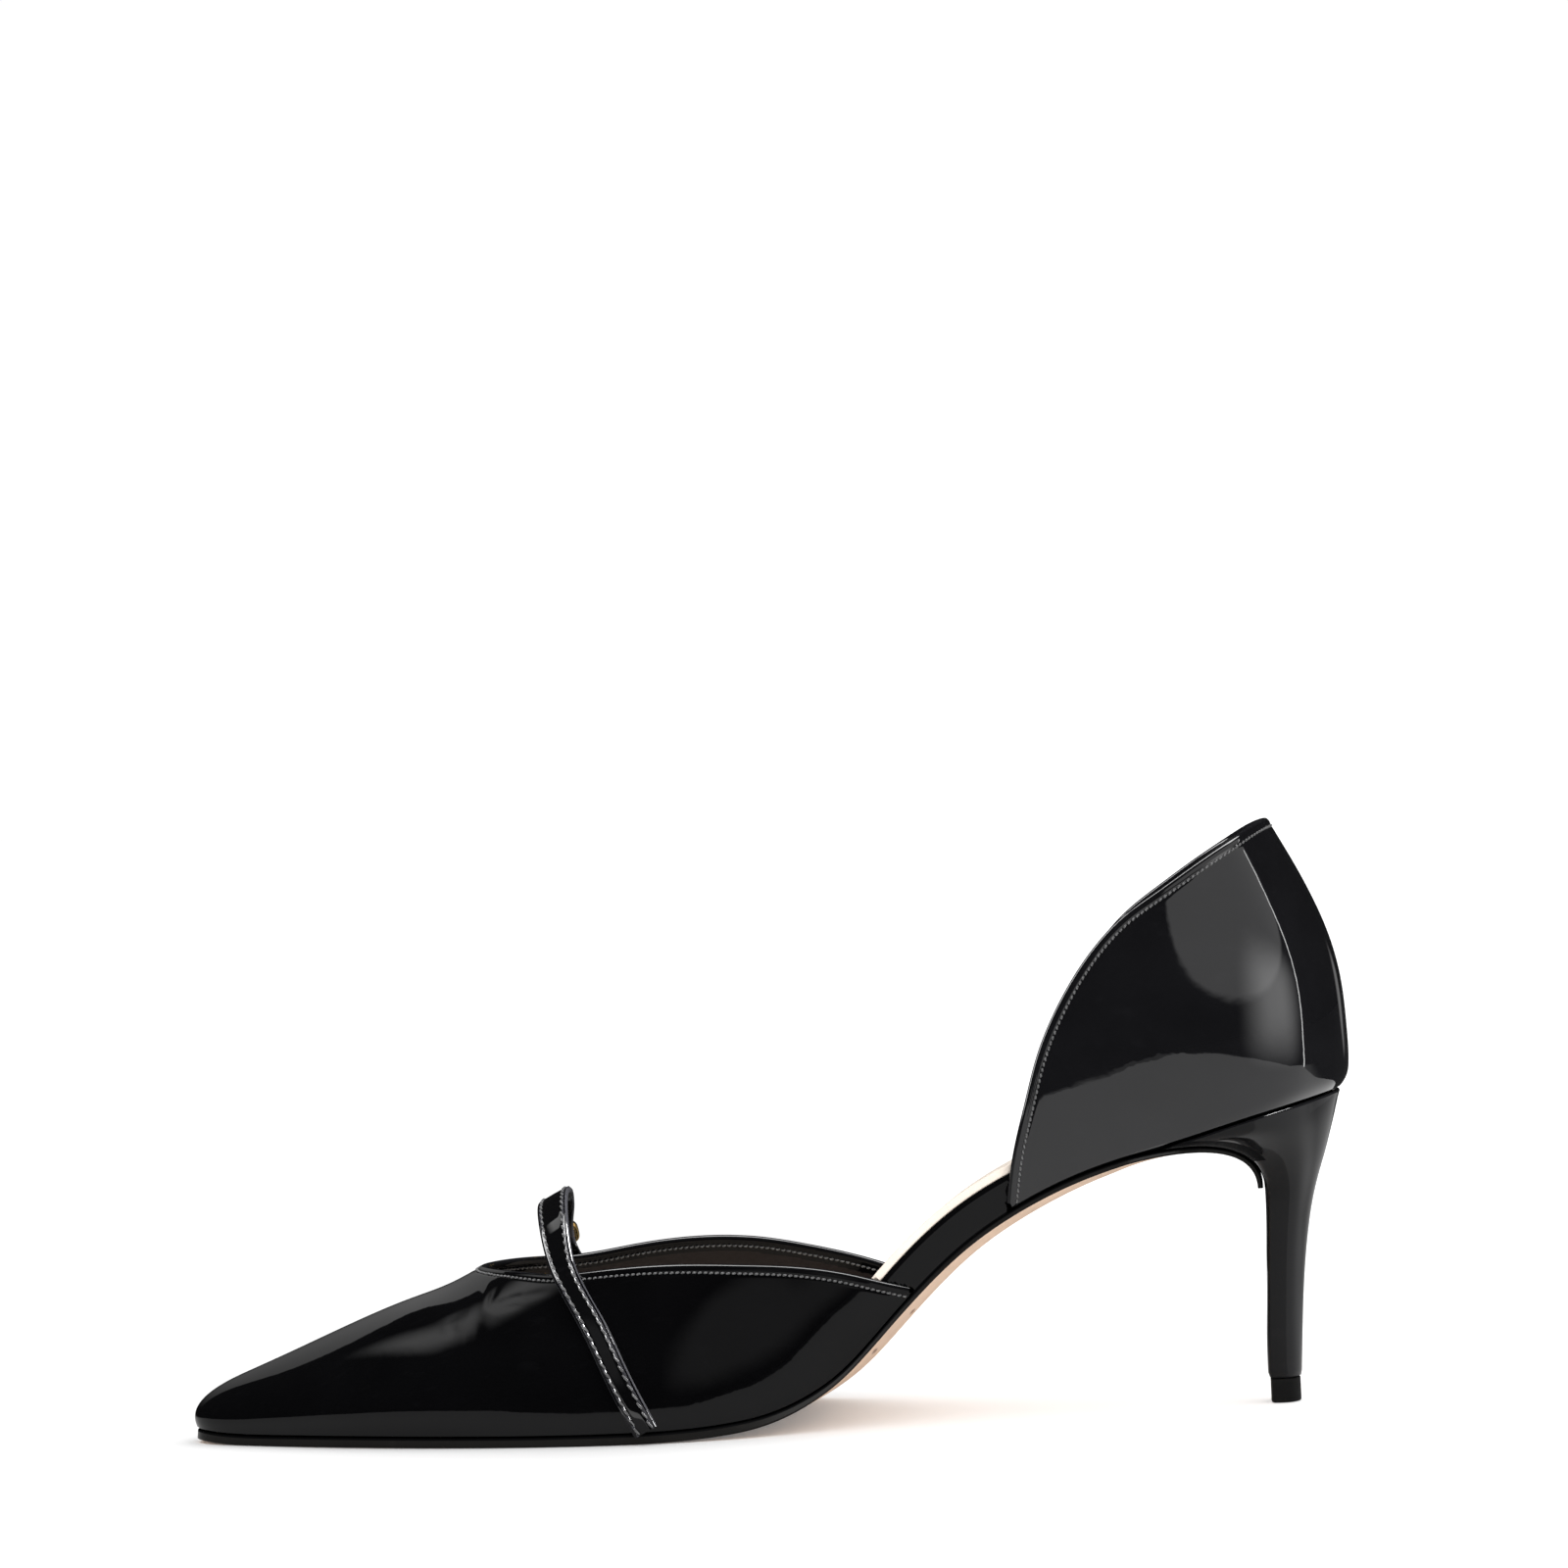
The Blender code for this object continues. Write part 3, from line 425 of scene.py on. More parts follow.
def twisted(points):
    """Points with the outer side of the waist let down and its inner side raised, as on a last."""
    points = np.array(points, float)
    waist = smooth_step(-5, 32, points[:, 0]) * (1 - smooth_step(52, 92, points[:, 0]))
    points[:, 2] -= WAIST_TWIST * waist * points[:, 1]
    return points


# Mesh helpers
def grid_faces(rows, columns, closed=False):
    """Quads of a grid of points, row by row; a closed grid joins its last column to its first."""
    r, c = np.meshgrid(np.arange(rows - 1), np.arange(columns if closed else columns - 1), indexing="ij")
    after = (c + 1) % columns
    corners = [r * columns + c, r * columns + after, (r + 1) * columns + after, (r + 1) * columns + c]
    return np.stack(corners, axis=-1).reshape(-1, 4)


def put_mesh(name, points, faces, materials, replaced=(), face_material=None, crease_deg=40.0):
    """Mesh object of a piece: doubles merged, faces turned outward, smooth but for edges past an angle."""
    mesh = bpy.data.meshes.new(name)
    placed = (twisted(points) + FRAME_SHIFT) * MM
    mesh.from_pydata(placed.tolist(), [], [list(face) for face in faces])
    for material in materials:
        mesh.materials.append(material)
    if face_material is not None:
        mesh.polygons.foreach_set("material_index", np.asarray(face_material, np.int32))
    work = bmesh.new()
    work.from_mesh(mesh)
    bmesh.ops.remove_doubles(work, verts=work.verts, dist=1e-7)
    bmesh.ops.dissolve_degenerate(work, edges=work.edges, dist=1e-7)
    bmesh.ops.recalc_face_normals(work, faces=work.faces)
    work.to_mesh(mesh)
    work.free()
    mesh.shade_smooth()
    mesh.set_sharp_from_angle(angle=math.radians(crease_deg))
    piece = bpy.data.objects.new(name, mesh)
    bpy.context.scene.collection.objects.link(piece)
    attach(piece, BODY)
    if replaced:
        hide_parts(*replaced)


class Patches:
    """Collects grids and single faces of one mesh, each with the index of its material."""

    def __init__(self):
        self.points = []
        self.faces = []
        self.kinds = []
        self.count = 0

    def grid(self, points, kind=0, closed=False):
        """Add a grid of points; kind is one index or one for each quad."""
        rows, columns = points.shape[:2]
        quads = grid_faces(rows, columns, closed)
        self.faces.extend((quads + self.count).tolist())
        self.kinds.extend(np.broadcast_to(np.asarray(kind).reshape(-1), len(quads)).tolist())
        self.points.append(points.reshape(-1, 3))
        self.count += rows * columns

    def cap(self, ring):
        """Add one face through a ring of points."""
        self.faces.append(list(range(self.count, self.count + len(ring))))
        self.kinds.append(0)
        self.points.append(ring)
        self.count += len(ring)

    def loft(self, rings, ring_kinds=0):
        """Add a closed solid through rings of points, with a flat cap at each end."""
        count, around = rings.shape[:2]
        self.grid(rings, np.broadcast_to(np.asarray(ring_kinds), (count - 1, around)), closed=True)
        self.cap(rings[0])
        self.cap(rings[-1])

    def put(self, name, materials, slot, replaced=(), crease_deg=40.0):
        """Make the mesh object."""
        points = np.concatenate(self.points)
        put_mesh(name, points, self.faces, materials, replaced, self.kinds, crease_deg)


def put_loft(name, rings, materials, slot, replaced=(), ring_kinds=0, crease_deg=40.0):
    """Piece that is one closed solid through rings of points."""
    patches = Patches()
    patches.loft(rings, ring_kinds)
    patches.put(name, materials, slot, replaced, crease_deg)


def nearest(points, others):
    """Index of the nearest of the others to each point, and its distance: |a|^2 + |b|^2 - 2 a.b."""
    square = (points ** 2).sum(1)[:, None] + (others ** 2).sum(1)[None, :] - 2 * points @ others.T
    index = square.argmin(axis=1)
    return index, np.sqrt(np.maximum(square[np.arange(len(points)), index], 0.0))


# Rolled edges and creases
def edge_relief(distance, sizes):
    """Height of the skin near an edge: a soft bead up to the seam, and a groove under the thread."""
    inset = sizes.stitch_inset / MM
    bead = sizes.bead_height / MM * smooth_step(inset + 0.3, inset - 0.7, distance)
    groove = sizes.seam_depth / MM * np.exp(-((distance - inset) / 0.34) ** 2)
    return bead - groove


def crease_relief(points, creases):
    """Sum of ridges and troughs: each is its depth times a bell of the distance to its line."""
    relief = np.zeros(len(points))
    flat = points[:, [0, 2]]
    for row in creases:
        start = np.array([row.x, row.z])
        run = np.array([row.x_end, row.z_end]) - start
        share = np.clip((flat - start) @ run / (run @ run), 0, 1)
        away = np.linalg.norm(flat - start - share[:, None] * run, axis=1)
        fade = np.sin(np.pi * (0.12 + 0.76 * share))
        on_side = smooth_step(0.5, 3.0, row.side * points[:, 1])
        relief += on_side * row.depth * fade * np.exp(-(away / row.width) ** 2)
    return relief


def wave_relief(points, waves):
    """Faint unevenness of stretched leather: a sum of sines along headings in the side view."""
    relief = np.zeros(len(points))
    for row in waves:
        heading = math.radians(row.heading_deg)
        run = points[:, 0] * math.cos(heading) + points[:, 2] * math.sin(heading)
        relief += row.height * np.sin(2 * np.pi * run / row.length + row.phase)
    return relief


def foot_relief(distance, radius):
    """Rounding of a wall at its foot: a quarter circle of the radius, as a fall from the skin."""
    short = np.clip(1 - distance / radius, 0, 1)
    return -radius * (1 - np.sqrt(1 - short ** 2))


def dense_ends(count):
    """Shares from 0 to 1, closer at both ends: the share less a part of its sine over one turn."""
    share = np.linspace(0, 1, count)
    return share - 0.7 * np.sin(2 * np.pi * share) / (2 * np.pi)


class EdgeLine:
    """The rolled edge of a wall: points on its outer face, outward normals, and directions off the edge."""

    def __init__(self, points, normals):
        self.points = points
        self.tangents = unit(np.gradient(points, axis=0))
        self.off = unit(np.cross(self.tangents, normals))
        self.normals = unit(np.cross(self.off, self.tangents))

    def rim(self, wall, steps=10):
        """Half circle over the edge from the outer to the inner face, about the middle of the wall."""
        angle = np.linspace(0, np.pi, steps)[None, :, None]
        middle = self.points - self.normals * wall / 2
        turned = np.cos(angle) * self.normals[:, None] + np.sin(angle) * self.off[:, None]
        return middle[:, None] + wall / 2 * turned


def hollow_wall(skin, normals, line, edge_columns, fold, relief):
    """Closed wall from a skin of columns by rows: outer face, inner face, rim, bottom strip and ends.

    The inner face is patent down to the fold below the edge, and lining under it (material 1).
    """
    columns, rows = skin.shape[:2]
    outer = skin + normals * relief[..., None]
    inner = skin - normals * UPPER_WALL
    patches = Patches()
    patches.grid(outer)
    _, depth = nearest(skin.reshape(-1, 3), line.points)
    depth = depth.reshape(columns, rows)
    lined = (depth[:-1, :-1] > fold).astype(int)
    patches.grid(inner, lined)
    rim = line.rim(UPPER_WALL)
    rim[:, 0] = outer[edge_columns, -1]
    rim[:, -1] = inner[edge_columns, -1]
    patches.grid(rim)
    patches.grid(np.stack([outer[:, 0], inner[:, 0]], axis=1))
    for end in (0, -1):
        patches.grid(np.stack([outer[end], inner[end]], axis=1))
        patches.cap(rim[end])
    return patches, outer


def vamp_skin():
    """Skin of the vamp: columns from the inner wing round the toe to the outer, rows dense at both ends.

    A column is one section of the last. Its top is the ridge before the throat, and the topline behind it.
    """
    throat = turn_at(FEATHER_TOE + np.sqrt((THROAT_X - FEATHER_TOE) ** 2 - TOE_FAN ** 2))
    front = np.linspace(0, throat, 100)
    wing_share = np.linspace(0, 1, 131)[1:] ** 1.5
    rows = dense_ends(84)
    turns = []
    tops = []
    for side, end in ((-1, WING_END_INNER), (1, WING_END_OUTER)):
        wing = throat + (turn_at(end) - throat) * wing_share
        top = np.concatenate([np.ones_like(front), topline_climb(wing, side)])
        turns.append(side * np.concatenate([front, wing]))
        tops.append(top)
    turns = np.concatenate([turns[0][::-1], turns[1][1:]])
    tops = np.concatenate([tops[0][::-1], tops[1][1:]])
    climb = tops[:, None] * rows
    skin = last_point(turns[:, None], climb)
    normals = last_normal(turns[:, None] * np.ones_like(climb), np.minimum(climb, 0.997))
    on_ridge = np.abs(turns) <= throat + 1e-9
    normals[on_ridge, -1] = unit(normals[on_ridge, -1] + normals[::-1][on_ridge, -1])
    wing_count = len(wing_share)
    columns = np.concatenate([np.arange(wing_count + 1), np.arange(len(turns) - wing_count, len(turns))])
    return skin, normals, columns


def cup_point(turn, height):
    """Point of the heel cup at a height above the feather line: the outline scaled about its middle."""
    turn, height = np.broadcast_arrays(np.asarray(turn, float), np.asarray(height, float))
    foot = feather(turn)
    longer = 1 + cup_back(height) / (FEATHER_BACK - CUP_MIDDLE)
    wider = 1 + cup_side(height) / CUP_HALF
    x = CUP_MIDDLE + (foot[..., 0] - CUP_MIDDLE) * longer
    return np.stack([x, foot[..., 1] * wider, foot[..., 2] + height], axis=-1)


def quarter_skin():
    """Skin of the heel cup: columns from its outer front edge round the back, rows dense at both ends."""
    front = turn_at(QUARTER_FRONT + 0.4)
    back = turn_at(CUP_BACK_START)
    side = front + (back - front) * np.linspace(0, 1, 111) ** 1.6
    half = np.concatenate([side, np.linspace(back, 1.0, 66)[1:]])
    turns = np.concatenate([half, 2 - half[-2::-1]])
    height = np.linspace(0, CUP_TALL, 1321)
    points = cup_point(turns[:, None], height)
    top = first_crossing(height, points[..., 2] - np.interp(points[..., 0], COLLAR_X, COLLAR_Z))
    rows = dense_ends(84)
    heights = top[:, None] * rows
    columns = turns[:, None] * np.ones_like(heights)
    skin = cup_point(columns, heights)
    normals = surface_normal(cup_point, columns, heights, 0.001, 0.05)
    return skin, normals, np.arange(len(turns))


def edge_roll(line):
    """Rings of the folded edge of a wall: a circle about the wall's middle, a little proud of its faces."""
    middle = line.points - line.normals * UPPER_WALL / 2
    return tube(middle, UPPER_WALL / 2 + EDGE_FOLD_PROUD, line.normals, line.off[:, None])


# Slabs of the bottom
def bottom_frame(x):
    """Height of the bottom line and the unit normal above it, in the side view."""
    slope = (feather_height(x + 0.25) - feather_height(x - 0.25)) * 2
    return feather_height(x), unit(np.stack([-slope, np.ones_like(x)], axis=-1))


def square_inset(edge, x, inset):
    """Inset along Y that keeps a distance square to a sloping edge."""
    slope = (edge(x + 0.2) - edge(x - 0.2)) / 0.4
    return inset * np.sqrt(1 + slope ** 2)


def board_edges(x, z, in_cup=1.0):
    """Inner and outer Y of the board: inside the upper where it is hidden, and out to the feather line
    between the wing's topline and the quarter's front edge.

    in_cup is the share of the inset that it takes in the cup.
    """
    shut = in_cup * smooth_step(-0.9, -0.2, x - collar_front(z))
    inset = UPPER_WALL + 2 * GAP
    wing = np.clip(x, TOPLINE[0].station, TOPLINE[-1].station)

    def hidden(topline, wing_end):
        above = smooth_step(0.2, 0.9, z - topline(wing))
        behind = smooth_step(0.3, 0.9, x - wing_end)
        return 1 - np.maximum(above, behind) * (1 - shut)
    inner = edge_inner(x) + square_inset(edge_inner, x, inset) * hidden(topline_inner, WING_END_INNER)
    outer = edge_outer(x) - square_inset(edge_outer, x, inset) * hidden(topline_outer, WING_END_OUTER)
    return inner, outer


def slab_section(flats=16, steps=5, walls=9):
    """Section of a slab as five columns: share across, corner across, share up, corner up, and face kind.

    A point lies at the shares of the flat stretches plus the corner's cosine and sine times its radius.
    Kind 0 is the top, 1 the wall, 2 the bottom, 3 an upper and 4 a lower corner.
    """
    flat = np.linspace(-1, 1, flats)
    wall = np.linspace(0, 1, walls + 2)[1:-1]
    turn = np.linspace(0, np.pi / 2, steps)

    def part(across, corner_across, up, corner_up, kind):
        return np.stack(np.broadcast_arrays(across, corner_across, up, corner_up, kind), axis=1)
    low = turn - np.pi / 2
    return np.concatenate([
        part(flat, 0.0, 0.0, -1.0, 2.0),
        part(1.0, np.cos(low), 0.0, np.sin(low), 4.0),
        part(1.0, 1.0, wall, 0.0, 1.0),
        part(1.0, np.cos(turn), 1.0, np.sin(turn), 3.0),
        part(-flat, 0.0, 1.0, 1.0, 0.0),
        part(-1.0, -np.sin(turn), 1.0, np.cos(turn), 3.0),
        part(-1.0, -1.0, wall[::-1], 0.0, 1.0),
        part(-1.0, np.sin(low), 0.0, -np.cos(low), 4.0),
    ])


def slab_rings(path, normal, low, high, edges, radius, dome=None):
    """Rings of a slab along a path in the side view, between two levels square to it, with rounded edges.

    dome lets the bottom swell by dome times one minus the square of the share across.
    """
    across, corner_across, up, corner_up, kind = slab_section().T
    low = np.asarray(low, float)[:, None]
    high = np.asarray(high, float)[:, None]
    level = low + radius + up * (high - low - 2 * radius) + corner_up * radius
    if dome is not None:
        level = level - np.asarray(dome)[:, None] * (1 - across ** 2) * (1 - up)
    place = path[:, :1] + normal[:, :1] * level
    height = path[:, 1:] + normal[:, 1:] * level
    inner, outer = edges(place, height)
    y = (inner + outer) / 2 + across * ((outer - inner) / 2 - radius) + corner_across * radius
    rings = np.stack([place, y * np.ones_like(place), height], axis=-1)
    rings[..., 2] = np.maximum(rings[..., 2], 0.0)
    return rings, kind.astype(int)


def bottom_stations(first, last_station):
    """Stations along the bottom, close at the toe and over the arch."""
    toe = first + (-100 - first) * np.linspace(0, 1, 26) ** 2
    tread = np.linspace(-100, -15, 40)[1:]
    arch = np.linspace(-15, 60, 110)[1:]
    seat = np.linspace(60, last_station, 24)[1:]
    return np.concatenate([toe, tread, arch, seat])


def flap_path(along):
    """Top line of the outsole behind the waist: a cubic curve from the seat down the breast."""
    start_z = float(feather_height(FLAP_START)) - GAP
    bend = (88.0, start_z + 3.5)
    turn = (FLAP_END_X - 0.3, 55.4)
    corner = np.array([(FLAP_START, start_z), bend, turn, (FLAP_END_X, FLAP_END_Z)])
    t = np.asarray(along, float)[:, None]
    s = 1 - t
    weights = np.concatenate([s ** 3, 3 * s ** 2 * t, 3 * s * t ** 2, t ** 3], axis=1)
    slopes = np.concatenate([3 * s ** 2, 6 * s * t, 3 * t ** 2], axis=1)
    tangent = unit(slopes @ np.diff(corner, axis=0))
    return weights @ corner, np.stack([-tangent[:, 1], tangent[:, 0]], axis=1)


def outsole_rings():
    """Rings of the outsole: tread, domed waist and the flap down the breast, on one path."""
    x = bottom_stations(FEATHER_TOE + 0.35, FLAP_START)
    z, normal = bottom_frame(x)
    along = np.linspace(0.02, 1.0, 46)
    flap_top, flap_normal = flap_path(along)
    narrow = smooth_step(0.0, 1.0, along)
    inner = np.concatenate([edge_inner(x), edge_inner(x[-1]) * (1 - narrow) - FLAP_END_HALF * narrow])
    outer = np.concatenate([edge_outer(x), edge_outer(x[-1]) * (1 - narrow) + FLAP_END_HALF * narrow])
    path = np.concatenate([np.stack([x, z - GAP], axis=1), flap_top])
    normal = np.concatenate([normal, flap_normal])
    waist = smooth_step(-5, 22, path[:, 0])
    edge = SOLE_EDGE_FRONT + (SOLE_EDGE_WAIST - SOLE_EDGE_FRONT) * waist
    dome = SOLE_DOME * waist * (1 - smooth_step(70, 100, path[:, 0]))

    def edges(place, height):
        return inner[:, None], outer[:, None]
    return slab_rings(path, normal, -edge, np.zeros_like(edge), edges, SOLE_EDGE_RADIUS, dome)


def board_stations(first, last_station):
    """Stations of the board and sock: the bottom's own, finer at the steps of the waist and at the heel."""
    wing_step = np.linspace(22, 38, 50)
    quarter_step = np.linspace(QUARTER_FRONT - 4, QUARTER_FRONT + 8, 40)
    heel = last_station - (last_station - FLAP_START) * np.linspace(1, 0, 40)[1:] ** 1.7
    x = np.sort(np.concatenate([bottom_stations(first, FLAP_START), wing_step, quarter_step, heel]))
    return x[np.concatenate([[True], np.diff(x) > 0.12])]


# Heel
def seat_ring():
    """Outline of the heel seat from the middle of its front round the back, as X and Y.

    Each place also has its share of the way back and its share of the half width.
    """
    angle = np.linspace(0, np.pi / 2, 14)
    cap = SEAT_CORNER * (1 - np.cos(angle) ** 0.5)
    spread = np.sin(angle) ** 0.5
    quarter_turn = np.linspace(0, np.pi / 2, 36)[1:]
    run = LIP_FRONT + SEAT_CORNER + (FEATHER_BACK - LIP_FRONT - SEAT_CORNER) * np.sin(quarter_turn)
    x = np.concatenate([LIP_FRONT + cap, run])
    factor = np.concatenate([spread, np.ones(len(run))])
    outer = np.stack([x, edge_outer(x) * factor], axis=1)
    inner = np.stack([x, edge_inner(x) * factor], axis=1)
    seat = np.concatenate([outer, inner[-2:0:-1]])
    share = (seat[:, 0] - LIP_FRONT) / (FEATHER_BACK - LIP_FRONT)
    return seat, share, seat[:, 1] / np.abs(seat[:, 1]).max()


def heel_rings():
    """Rings of the heel: the seat's outline drawn in along the breast and down the stem, on smooth curves.

    Along the breast each half width is the softer of its table's value and the feather line's own.
    """
    seat, share, swing = seat_ring()
    front, normal = flap_path(column(BREAST, "along"))
    front = front + normal * GAP
    rings = [np.stack([seat[:, 0], seat[:, 1], feather_height(seat[:, 0]) - GAP], axis=1)]
    for place, row in zip(front, BREAST):
        x = place[0] + (row.back_x - place[0]) * share
        z = place[1] + (row.back_z - place[1]) * share
        wide = np.maximum(np.abs(swing) * row.half_width, 0.01)
        limit = np.maximum(np.where(swing < 0, -edge_inner(x), edge_outer(x)), 0.01)
        narrow = (wide ** -24 + limit ** -24) ** (-1 / 24)
        rings.append(np.stack([x, np.sign(swing) * narrow, z], axis=1))
    for row in STEM:
        x = row.front + (row.back - row.front) * share
        rings.append(np.stack([x, swing * row.half_width, np.full_like(x, row.height)], axis=1))
    rings = np.array(rings)
    middle = np.array([(LIP_FRONT + FEATHER_BACK) / 2, 0.0, 0.0])
    angle = np.linspace(0, np.pi / 2, 6)[:-1]
    outward = unit((rings[0] - middle) * (1, 1, 0))
    pull = HEEL_LIP_RADIUS * (1 - np.sin(angle))[:, None, None]
    drop = HEEL_LIP_RADIUS * (1 - np.cos(angle))[:, None, None]
    lip = rings[0] - outward * pull - np.array([0.0, 0.0, 1.0]) * drop
    rings[0, :, 2] -= HEEL_LIP_RADIUS
    body = rings[:-1]
    step = np.linalg.norm(np.diff(body, axis=0), axis=2).mean(axis=1)
    reach = np.concatenate([[0], np.cumsum(step)])
    fine = spline(reach, body)(np.linspace(0, reach[-1], 120))
    return np.concatenate([lip, fine, rings[-1:]])


def top_piece_rings():
    """Rings of the rubber tip: straight sides with a rounded lower edge."""
    _, share, swing = seat_ring()
    end = STEM[-1]
    angle = np.linspace(0, np.pi / 2, 6)
    low = TIP_EDGE_RADIUS * (1 - np.sin(angle))
    pull = TIP_EDGE_RADIUS * (1 - np.cos(angle))
    levels = np.concatenate([[TOP_PIECE_HEIGHT, TOP_PIECE_HEIGHT - 0.15, 3.0, 1.5], low])
    insets = TOP_PIECE_INSET + np.concatenate([[0.15, 0.0, 0.0, 0.0], pull])
    x = end.front + insets[:, None] + (end.back - end.front - 2 * insets[:, None]) * share
    y = swing * (end.half_width - insets[:, None])
    return np.stack([x, y, levels[:, None] * np.ones_like(x)], axis=-1)


# Strap and buckle
def route_place(side, climb):
    """Turn on the feather line that puts the strap's middle over its route at a climb on one side."""
    route = spline(column(ROUTE, "height"), column(ROUTE, "inner" if side < 0 else "outer"))
    turn = np.full_like(climb, turn_at(-35.0))
    for _ in range(12):
        point = last_point(side * turn, climb)
        turn = turn + turn_at(route(point[:, 2])) - turn_at(point[:, 0])
    return side * turn


def strap_point(turns, climbs):
    """Point on the strap's route: on the last up to the topline, and arched over the open instep."""
    points = last_point(turns, climbs)
    points[:, 2] += APEX_LIFT * smooth_step(APEX_FOOT, RIDGE_AT_STRAP, points[:, 2])
    return points


def strap_frame(low_side, low_height, high_side, high_height, count):
    """Lengths, places, normals and across directions along the route between two heights."""
    fine = np.linspace(0.0, 1.0, 240)
    turns = np.concatenate([route_place(-1, fine), route_place(1, fine[::-1])[1:]])
    climbs = np.concatenate([fine, fine[::-1][1:]])
    points = strap_point(turns, climbs)
    normal = last_normal(turns, climbs)
    middle = len(fine) - 1
    normal[middle] = normal[middle - 1] + normal[middle + 1]
    tangent = unit(np.gradient(points, axis=0))
    across = unit(np.cross(tangent, normal))
    normal = np.cross(across, tangent)
    length = lengths(points)
    ends = []
    for side, height in ((low_side, low_height), (high_side, high_height)):
        half = slice(0, middle + 1) if side < 0 else slice(middle, None)
        order = np.argsort(points[half, 2])
        ends.append(np.interp(height, points[half, 2][order], length[half][order]))
    at = np.linspace(ends[0], ends[1], count)
    return at, *(at_lengths(at, length, values) for values in (points, normal, across))


def strap_section(thickness):
    """Half width share, shift and height of a strap's ring: flat back, round edges and a flat face."""
    edge = np.linspace(-np.pi / 2, np.pi / 2, 9)
    face = np.linspace(1, -1, 41)
    back = np.linspace(-1, 1, 5)
    radius = thickness / 2
    right = np.stack([np.ones(9), radius * (np.cos(edge) - 1), radius * (1 + np.sin(edge))], axis=1)
    left = right[::-1] * (-1, -1, 1)
    top = np.stack([face, -radius * np.sign(face) * (np.abs(face) == 1), np.full(41, thickness)], axis=1)
    flat = np.stack([back, -radius * np.sign(back) * (np.abs(back) == 1), np.zeros(5)], axis=1)
    return np.concatenate([flat[:-1], right, top[1:-1], left[:-1]])


# Places along a strap, with the directions off it and across it, its lift off the last and its width
Layout = namedtuple("Layout", "places normals across lift width")


def strap_rings(layout, thickness, sizes):
    """Rings of a strap: its section along the route, crowned, with a groove under each row of thread."""
    section = strap_section(thickness)
    half = (layout.width / 2)[:, None]
    shift = section[:, 0] * half + section[:, 1]
    from_edge = half - np.abs(shift)
    face = (section[:, 2] > thickness * 0.98).astype(float)
    groove = sizes.seam_depth / MM * np.exp(-((from_edge - sizes.strap_inset / MM) / 0.3) ** 2)
    crown = STRAP_CROWN * (1 - (shift / half) ** 2)
    height = layout.lift[:, None] + section[:, 2] + face * (crown - groove)
    sideways = layout.across[:, None] * shift[..., None]
    return layout.places[:, None] + sideways + layout.normals[:, None] * height[..., None]


def strap_fold(layout, side):
    """Rings of a turned edge of the strap: a circle about its middle, a little proud of its faces."""
    radius = STRAP_THICKNESS / 2
    sideways = layout.across * (side * (layout.width / 2 - radius))[:, None]
    path = layout.places + sideways + layout.normals * (layout.lift + radius)[:, None]
    return tube(path, radius + STRAP_FOLD_PROUD, layout.across, layout.normals[:, None])


def strap_layout():
    """The strap from the inner feather line to its tail below the buckle."""
    at, places, normals, across = strap_frame(-1, STRAP_FOOT_HEIGHT, 1, STRAP_TAIL_HEIGHT, 260)
    width = spline(column(ROUTE, "height"), column(ROUTE, "width"))(places[:, 2])
    lift = GAP + (TAB_THICKNESS + GAP) * smooth_step(at[-1] - 34.0, at[-1] - 24.0, at)
    tail = np.clip((at - at[-1] + TAIL_LENGTH) / TAIL_LENGTH, 0, 1)
    return Layout(places, normals, across, lift, width * np.sqrt(1 - 0.85 * tail ** 2))


def tab_layout():
    """The short tab on the outer side."""
    at, places, normals, across = strap_frame(1, TAB_TOP_HEIGHT, 1, TAB_FOOT_HEIGHT, 110)
    return Layout(places, normals, across, np.full_like(at, GAP), np.full_like(at, TAB_WIDTH))


def buckle_place():
    """Middle of the buckle on the strap's outer face, with its along, across and normal directions."""
    _, places, normals, across = strap_frame(1, BUCKLE_HEIGHT + 0.6, 1, BUCKLE_HEIGHT - 0.6, 3)
    along = unit(places[2] - places[0])
    lift = 3 * GAP + TAB_THICKNESS + STRAP_THICKNESS + BUCKLE_WIRE / 2
    return places[1] + normals[1] * lift, along, across[1], normals[1]


def tube(path, radius, side, over, around=14):
    """Rings about a path: radius times cosine along side plus sine along over."""
    angle = np.linspace(0, 2 * np.pi, around, endpoint=False)
    turned = np.cos(angle)[:, None] * side[:, None] + np.sin(angle)[:, None] * over
    return path[:, None] + np.asarray(radius).reshape(-1, 1, 1) * turned


# Stitches
def resample(line, pitch):
    """Arrays that run together, taken at places spaced by about the pitch; the first array sets lengths."""
    length = lengths(line[0])
    count = max(int(length[-1] / pitch), 2)
    at = (np.arange(count) + 0.5) * length[-1] / count
    return [at_lengths(at, length, values) for values in line]


